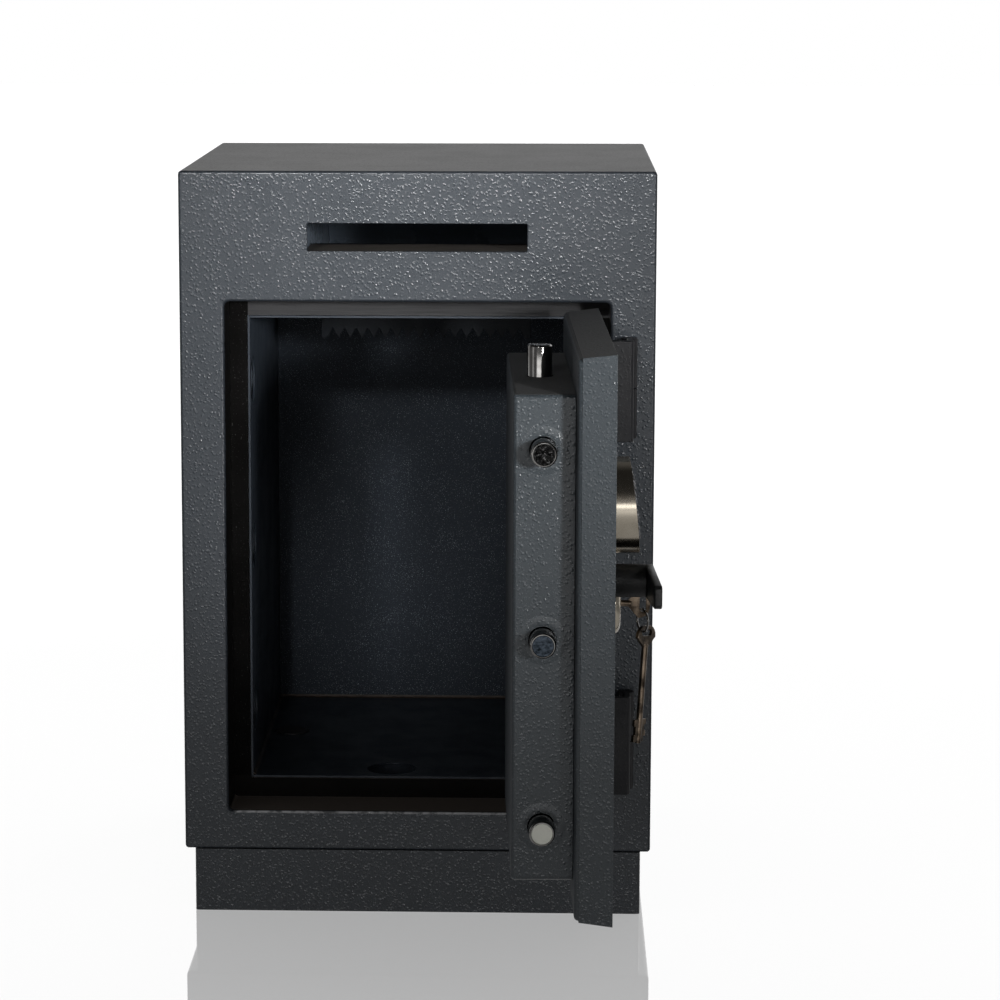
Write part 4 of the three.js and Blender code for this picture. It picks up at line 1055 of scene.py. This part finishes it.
@dataclass
class Handle:
    """The lever handle on its hub, whose outline is radius and distance out from the door."""

    centre: Span = (-22.0, 290.7)
    hub_radius: float = 11.4
    hub_length: float = 26.3
    hub: Outline = ((0.0, 26.7), (10.8, 26.7), (11.4, 26.3), (11.4, 1.6), (10.9, 0.6), (0.0, 0.6))
    lever: float = 63.0
    tip_half: float = 8.0
    tip_corner: float = 2.2
    hub_steps: int = 72
    round_steps: int = 24
    thickness: float = 5.4
    edge: float = 0.9
    splay: float = 2.5

    def build(self) -> None:
        """Makes the hub and the lever, and dresses the spindle."""
        x, z = self.centre
        r = self.hub_radius
        form = Form().turned(out_of_door(self.hub), Axis.Y, (x, 0.0, z), self.hub_steps)
        lean = math.asin((r - self.tip_half) / self.lever)
        turns = [-math.pi / 2 - lean + (math.pi + 2 * lean) * step / self.round_steps
                 for step in range(self.round_steps + 1)]
        tip, half, cut = -self.lever, self.tip_half, self.tip_corner
        outline = [(r * math.cos(turn), r * math.sin(turn)) for turn in turns]
        outline += [(tip + cut, half), (tip, half - cut), (tip, cut - half), (tip + cut, -half)]
        place = Matrix(((1, 0, 0, x), (0, 0, -1, DOOR_FACE - self.hub_length), (0, 1, 0, z), (0, 0, 0, 1)))
        form.plate(outline, self.thickness, place, self.edge)
        for vertex in form.mesh.verts:
            vertex.co.y -= self.splay * max(0.0, x - r - vertex.co.x) / (self.lever - r)
        form.piece("lever_handle", "handle", DOOR, HANDLE_COAT, "black_handle", ("handle_lever",), sharp=30.0)
        dress(ZINC, "handle_spindle")


@dataclass
class Keypad:
    """The round keypad with its sloping face and its keys."""

    centre: Span = (0.0, 339.8)
    radius: float = 33.5
    edge: float = 0.5
    short: float = 15.9
    tall: float = 23.1
    columns: int = 3
    rows: int = 4
    pitch: Span = (12.5, 11.5)
    cap: Span = (9.4, 8.0)
    cap_corner: float = 1.5
    cap_edge: float = 0.5
    proud: float = 1.6
    sunk: float = 2.6
    marks: Sequence[str] = ("1", "2", "3", "4", "5", "6", "7", "8", "9", "", "0", "")
    mark_size: float = 5.2
    mark_depth: float = 0.04
    mark_lift: float = 0.05

    def face(self) -> Matrix:
        """Finds where the sloping face lies.

        Returns:
            The matrix from the face, whose own Z points out of it, to the shut door.
        """
        slope = math.atan2(self.tall - self.short, 2 * self.radius)
        x, z = self.centre
        middle = Matrix.Translation((x, DOOR_FACE - (self.tall + self.short) / 2, z))
        upright = Matrix(((1, 0, 0, 0), (0, 0, -1, 0), (0, 1, 0, 0), (0, 0, 0, 1)))
        return middle @ Matrix.Rotation(-slope, 4, "X") @ upright

    def build(self) -> None:
        """Makes the housing, the keys and their numbers."""
        cover("keypad_housing", "keypad_body", "door", NICKEL, "nickel", self.edge, sharp=25.0,
              angle=50.0)
        dress(BOARD_GREEN, "keypad_board")
        face = self.face()
        for index, mark in enumerate(self.marks):
            row, column = divmod(index, self.columns)
            across, up = column - (self.columns - 1) / 2, (self.rows - 1) / 2 - row
            middle = Matrix.Translation((across * self.pitch[0], up * self.pitch[1], 0.0))
            self.key(f"key_{index + 1:02d}", mark, face @ middle)

    def key(self, body: str, mark: str, place: Matrix) -> None:
        """Makes one key and its number.

        Args:
            body: The key's node and body.
            mark: The number printed on it, or nothing for a blank key.
            place: The middle of its window in the face.
        """
        w, h, c = self.cap[0] / 2, self.cap[1] / 2, self.cap_corner
        outline = [(-w + c, -h), (w - c, -h), (w, -h + c), (w, h - c), (w - c, h), (-w + c, h), (-w, h - c),
                   (-w, -h + c)]
        sunk = place @ Matrix.Translation((0, 0, -self.sunk))
        Form().plate(outline, self.proud + self.sunk, sunk, self.cap_edge).piece(
            f"{body}_cap", body, DOOR, KEY_CAPS, "key_grey", (body,), sharp=40.0)
        if not mark:
            return
        curve = bpy.data.curves.new(f"{body}_text", "FONT")
        curve.body = mark
        curve.size = self.mark_size
        curve.align_x = "CENTER"
        curve.align_y = "CENTER"
        curve.extrude = self.mark_depth
        text = add_object(f"{body}_text", curve)
        bpy.context.view_layer.update()
        data = bpy.data.meshes.new_from_object(text)
        bpy.data.objects.remove(text)
        data.transform(DOOR @ place @ Matrix.Translation((0, 0, self.proud + self.mark_lift)))
        made = add_object(f"{body}_mark", data)
        data.materials.clear()
        data.materials.append(MARKING.material())
        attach(made, body)
        LOG.info("piece %s on %s, %d faces", made.name, body, len(data.polygons))


@dataclass
class KeyLock:
    """The key lock with the key that stands in it, the ring and the hanging key.

    The rose's outline is radius and distance out from the door.
    """

    centre: Span = (32.0, 264.3)
    rose: Outline = ((9.9, 0.3), (22.0, 0.3), (22.0, 7.2), (21.5, 8.8), (20.3, 10.4), (18.2, 11.4),
                     (17.0, 11.6), (10.4, 11.6), (9.9, 11.1), (9.9, 0.3))
    rose_steps: int = 96
    key_edge: float = 0.55
    ring_merge: float = 0.001
    ring_room: float = 0.15

    def build(self) -> None:
        """Makes the lock's rose and its keys, and dresses what lies inside."""
        x, z = self.centre
        Form().turned(out_of_door(self.rose), Axis.Y, (x, 0.0, z), self.rose_steps).piece(
            "lock_rose", "door", DOOR, NICKEL, "chrome", ("lock_escutcheon",), sharp=30.0)
        dress(BRASS, "lock_plug", "lock_bolt")
        dress(BOLT_PLATING, "solenoid_plunger")
        for node, body in (("lock_key", "lock_barrel"), ("spare_key", "spare")):
            cover(node, f"{node}_bronzed", body, KEY_BRONZE, "bronze_key", self.key_edge, sharp=30.0,
                  segments=3, angle=50.0)
        self.ring()

    def ring(self) -> None:
        """Makes the split ring, a little thinner than its node so that it clears the keys."""
        form = Form().cad("key_ring")
        bmesh.ops.remove_doubles(form.mesh, verts=form.mesh.verts, dist=self.ring_merge * MM)
        form.mesh.normal_update()
        for vert in form.mesh.verts:
            vert.co -= vert.normal * self.ring_room * MM
        form.piece("key_ring_wire", "ring", IN_PLACE, ROD_PLATING, "zinc_steel", ("key_ring",), sharp=80.0)


@dataclass
class PhotoCamera:
    """The camera, placed where the photograph was taken from."""

    focal_px: float = 3419.12
    centre_px: float = 422.29
    picture: float = 1000.0
    sensor: float = 36.0
    stand: Point = (92.71, -2664.6, 729.51)
    pitch: float = 9.42
    yaw: float = 2.04

    def build(self) -> None:
        """Places the camera."""
        data = bpy.data.cameras.new("camera")
        data.sensor_width = self.sensor
        data.lens = self.focal_px * self.sensor / self.picture
        data.shift_x = (self.picture / 2 - self.centre_px) / self.picture
        camera = add_object("camera", data)
        camera.location = Vector(self.stand) * MM
        camera.rotation_euler = (math.radians(90 - self.pitch), 0.0, math.radians(self.yaw))
        bpy.context.scene.camera = camera


@dataclass
class PaleFloor:
    """The pale floor, which mirrors the safe a little.

    Spans are metres from the middle. Each glow or share is what holds at the two ends of its span.
    """

    half: float = 14.0
    drop: float = 0.0005
    tone: Colour = (0.9, 0.9, 0.9)
    roughness: float = 0.6
    mirror_rough: float = 0.012
    tilt: Span = (0.4, 0.8)
    tilt_share: Span = (0.04, 0.64)
    ahead: Span = (-0.5, -3.5)
    ahead_glow: Span = (0.3, 1.2)
    beside: Span = (0.5, 1.2)
    beside_share: Span = (1.0, 0.12)
    rear: Span = (0.1, 0.8)
    away: Span = (0.6, 3.0)
    away_glow: Span = (0.84, 1.3)

    def build(self) -> None:
        """Lays the floor."""
        data = bpy.data.meshes.new("floor")
        sheet = bmesh.new()
        bmesh.ops.create_grid(sheet, x_segments=2, y_segments=2, size=self.half)
        sheet.to_mesh(data)
        sheet.free()
        floor = add_object("floor", data)
        floor.location.z = -self.drop
        surface = Surface("pale floor")
        surface.fill(Base_Color=self.tone, Roughness=self.roughness, Specular_IOR_Level=0.0)
        seen = surface.add("ShaderNodeLightPath").outputs
        lift = surface.add("ShaderNodeEmission", {"Color": WHITE, "Strength": self.glow(surface, seen)})
        pale = surface.add("ShaderNodeAddShader", {0: surface.shader.outputs[0], 1: lift.outputs[0]})
        mirror = surface.add("ShaderNodeBsdfGlossy", {"Color": WHITE, "Roughness": self.mirror_rough})
        tilt = surface.add("ShaderNodeLayerWeight").outputs["Facing"]
        share = surface.times(surface.ramp(tilt, *self.tilt, *self.tilt_share), seen["Is Camera Ray"])
        surface.feed(surface.tree.nodes["Material Output"].inputs["Surface"],
                     surface.choose(share, pale.outputs[0], mirror.outputs[0]))
        data.materials.append(surface.material)

    def glow(self, surface: Surface, seen: Outputs) -> Socket:
        """Makes the floor's own light: even for the camera, far off and in front for what mirrors it.

        Args:
            surface: The floor's nodes.
            seen: What tells one kind of ray from another.

        Returns:
            The strength.
        """
        x, y, _ = surface.split(surface.place)
        ahead = surface.times(surface.ramp(y, *self.ahead, *self.ahead_glow),
                              surface.ramp(surface.math("ABSOLUTE", x), *self.beside, *self.beside_share))
        rear = surface.times(surface.ramp(y, *self.rear), self.away_glow[0])
        mirrored = surface.times(surface.bounced(seen), surface.larger(ahead, rear))
        away = surface.plus(surface.times(x, x), surface.times(y, y))
        plain = surface.ramp(away, *self.away, *self.away_glow)
        return surface.plus(mirrored, surface.times(seen["Is Camera Ray"], plain))


@dataclass
class Surroundings:
    """Even light, white where the camera looks, with a bright card ahead for what mirrors it.

    Spans are heights or depths of the direction looked in. A share is what holds at its span's ends.
    """

    ambient: float = 0.145
    low: Span = (0.28, 0.6)
    low_share: Span = (1.0, 0.12)
    behind: Span = (0.1, 0.6)
    behind_share: Span = (0.2, 1.0)
    card: float = 3.0
    card_foot: Span = (0.0, 0.03)
    card_head: Span = (0.19, 0.15)
    card_front: Span = (-0.85, -0.95)

    def build(self) -> None:
        """Makes the world."""
        world = bpy.data.worlds.new("studio")
        bpy.context.scene.world = world
        world.use_nodes = True
        graph = Graph(world.node_tree)
        _, y, z = graph.split(graph.where("Generated"))
        card = graph.times(graph.ramp(z, *self.card_foot), graph.ramp(z, *self.card_head))
        card = graph.times(card, graph.ramp(y, *self.card_front, 0.0, self.card))
        round_about = graph.times(graph.ramp(z, *self.low, *self.low_share),
                                  graph.ramp(y, *self.behind, *self.behind_share))
        white, mirrored = (
            graph.add("ShaderNodeBackground", {"Color": WHITE, "Strength": strength}).outputs[0]
            for strength in (1.0, graph.plus(round_about, card)))
        dim = world.node_tree.nodes["Background"]
        graph.feed(dim.inputs["Color"], WHITE)
        graph.feed(dim.inputs["Strength"], self.ambient)
        seen = graph.add("ShaderNodeLightPath").outputs
        inner = graph.choose(graph.bounced(seen), dim.outputs[0], mirrored)
        graph.feed(world.node_tree.nodes["World Output"].inputs["Surface"],
                   graph.choose(seen["Is Camera Ray"], inner, white))


@dataclass(frozen=True)
class SoftBox:
    """A rectangular lamp, with its sides in metres and its spread in degrees."""

    name: str
    place: Point
    aim: Point
    size: Span
    power: float
    spread: float

    def build(self) -> None:
        """Hangs the lamp."""
        data = bpy.data.lights.new(self.name, "AREA")
        data.shape = "RECTANGLE"
        data.size, data.size_y = self.size
        data.energy = self.power
        data.spread = math.radians(self.spread)
        lamp = add_object(self.name, data)
        lamp.location = self.place
        lamp.rotation_euler = (Vector(self.aim) - Vector(self.place)).to_track_quat("-Z", "Y").to_euler()


BOXES = (
    SoftBox("left box", (-0.42, -2.3, 1.30), (0.05, -0.17, 0.86), (0.3, 0.3), 1.9, 22.0),
    SoftBox("right box", (1.15, -2.3, 0.75), (0.08, -0.42, 0.48), (0.3, 0.3), 0.4, 12.0),
    SoftBox("low box", (-0.2, -2.3, 0.85), (-0.03, 0.05, 0.20), (0.06, 0.06), 0.026, 7.0),
    SoftBox("side box", (-2.2, -1.6, 0.9), (0.0, -0.2, 0.2), (0.7, 0.9), 0.9, 150.0),
    SoftBox("back box", (1.8, 2.2, 1.6), (0.0, 0.0, 0.3), (1.4, 1.4), 3.0, 150.0),
)


def main() -> None:
    """Builds the scene in order."""
    logging.basicConfig(level=logging.INFO)
    bpy.context.scene.view_settings.view_transform = "Standard"
    for part in (PhotoCamera(), PaleFloor(), Surroundings(), *BOXES, Cabinet(), Chute(), Hinges(), DoorLeaf(),
                 Boltwork(), Handle(), Keypad(), KeyLock()):
        part.build()


if __name__ == "__main__":
    main()
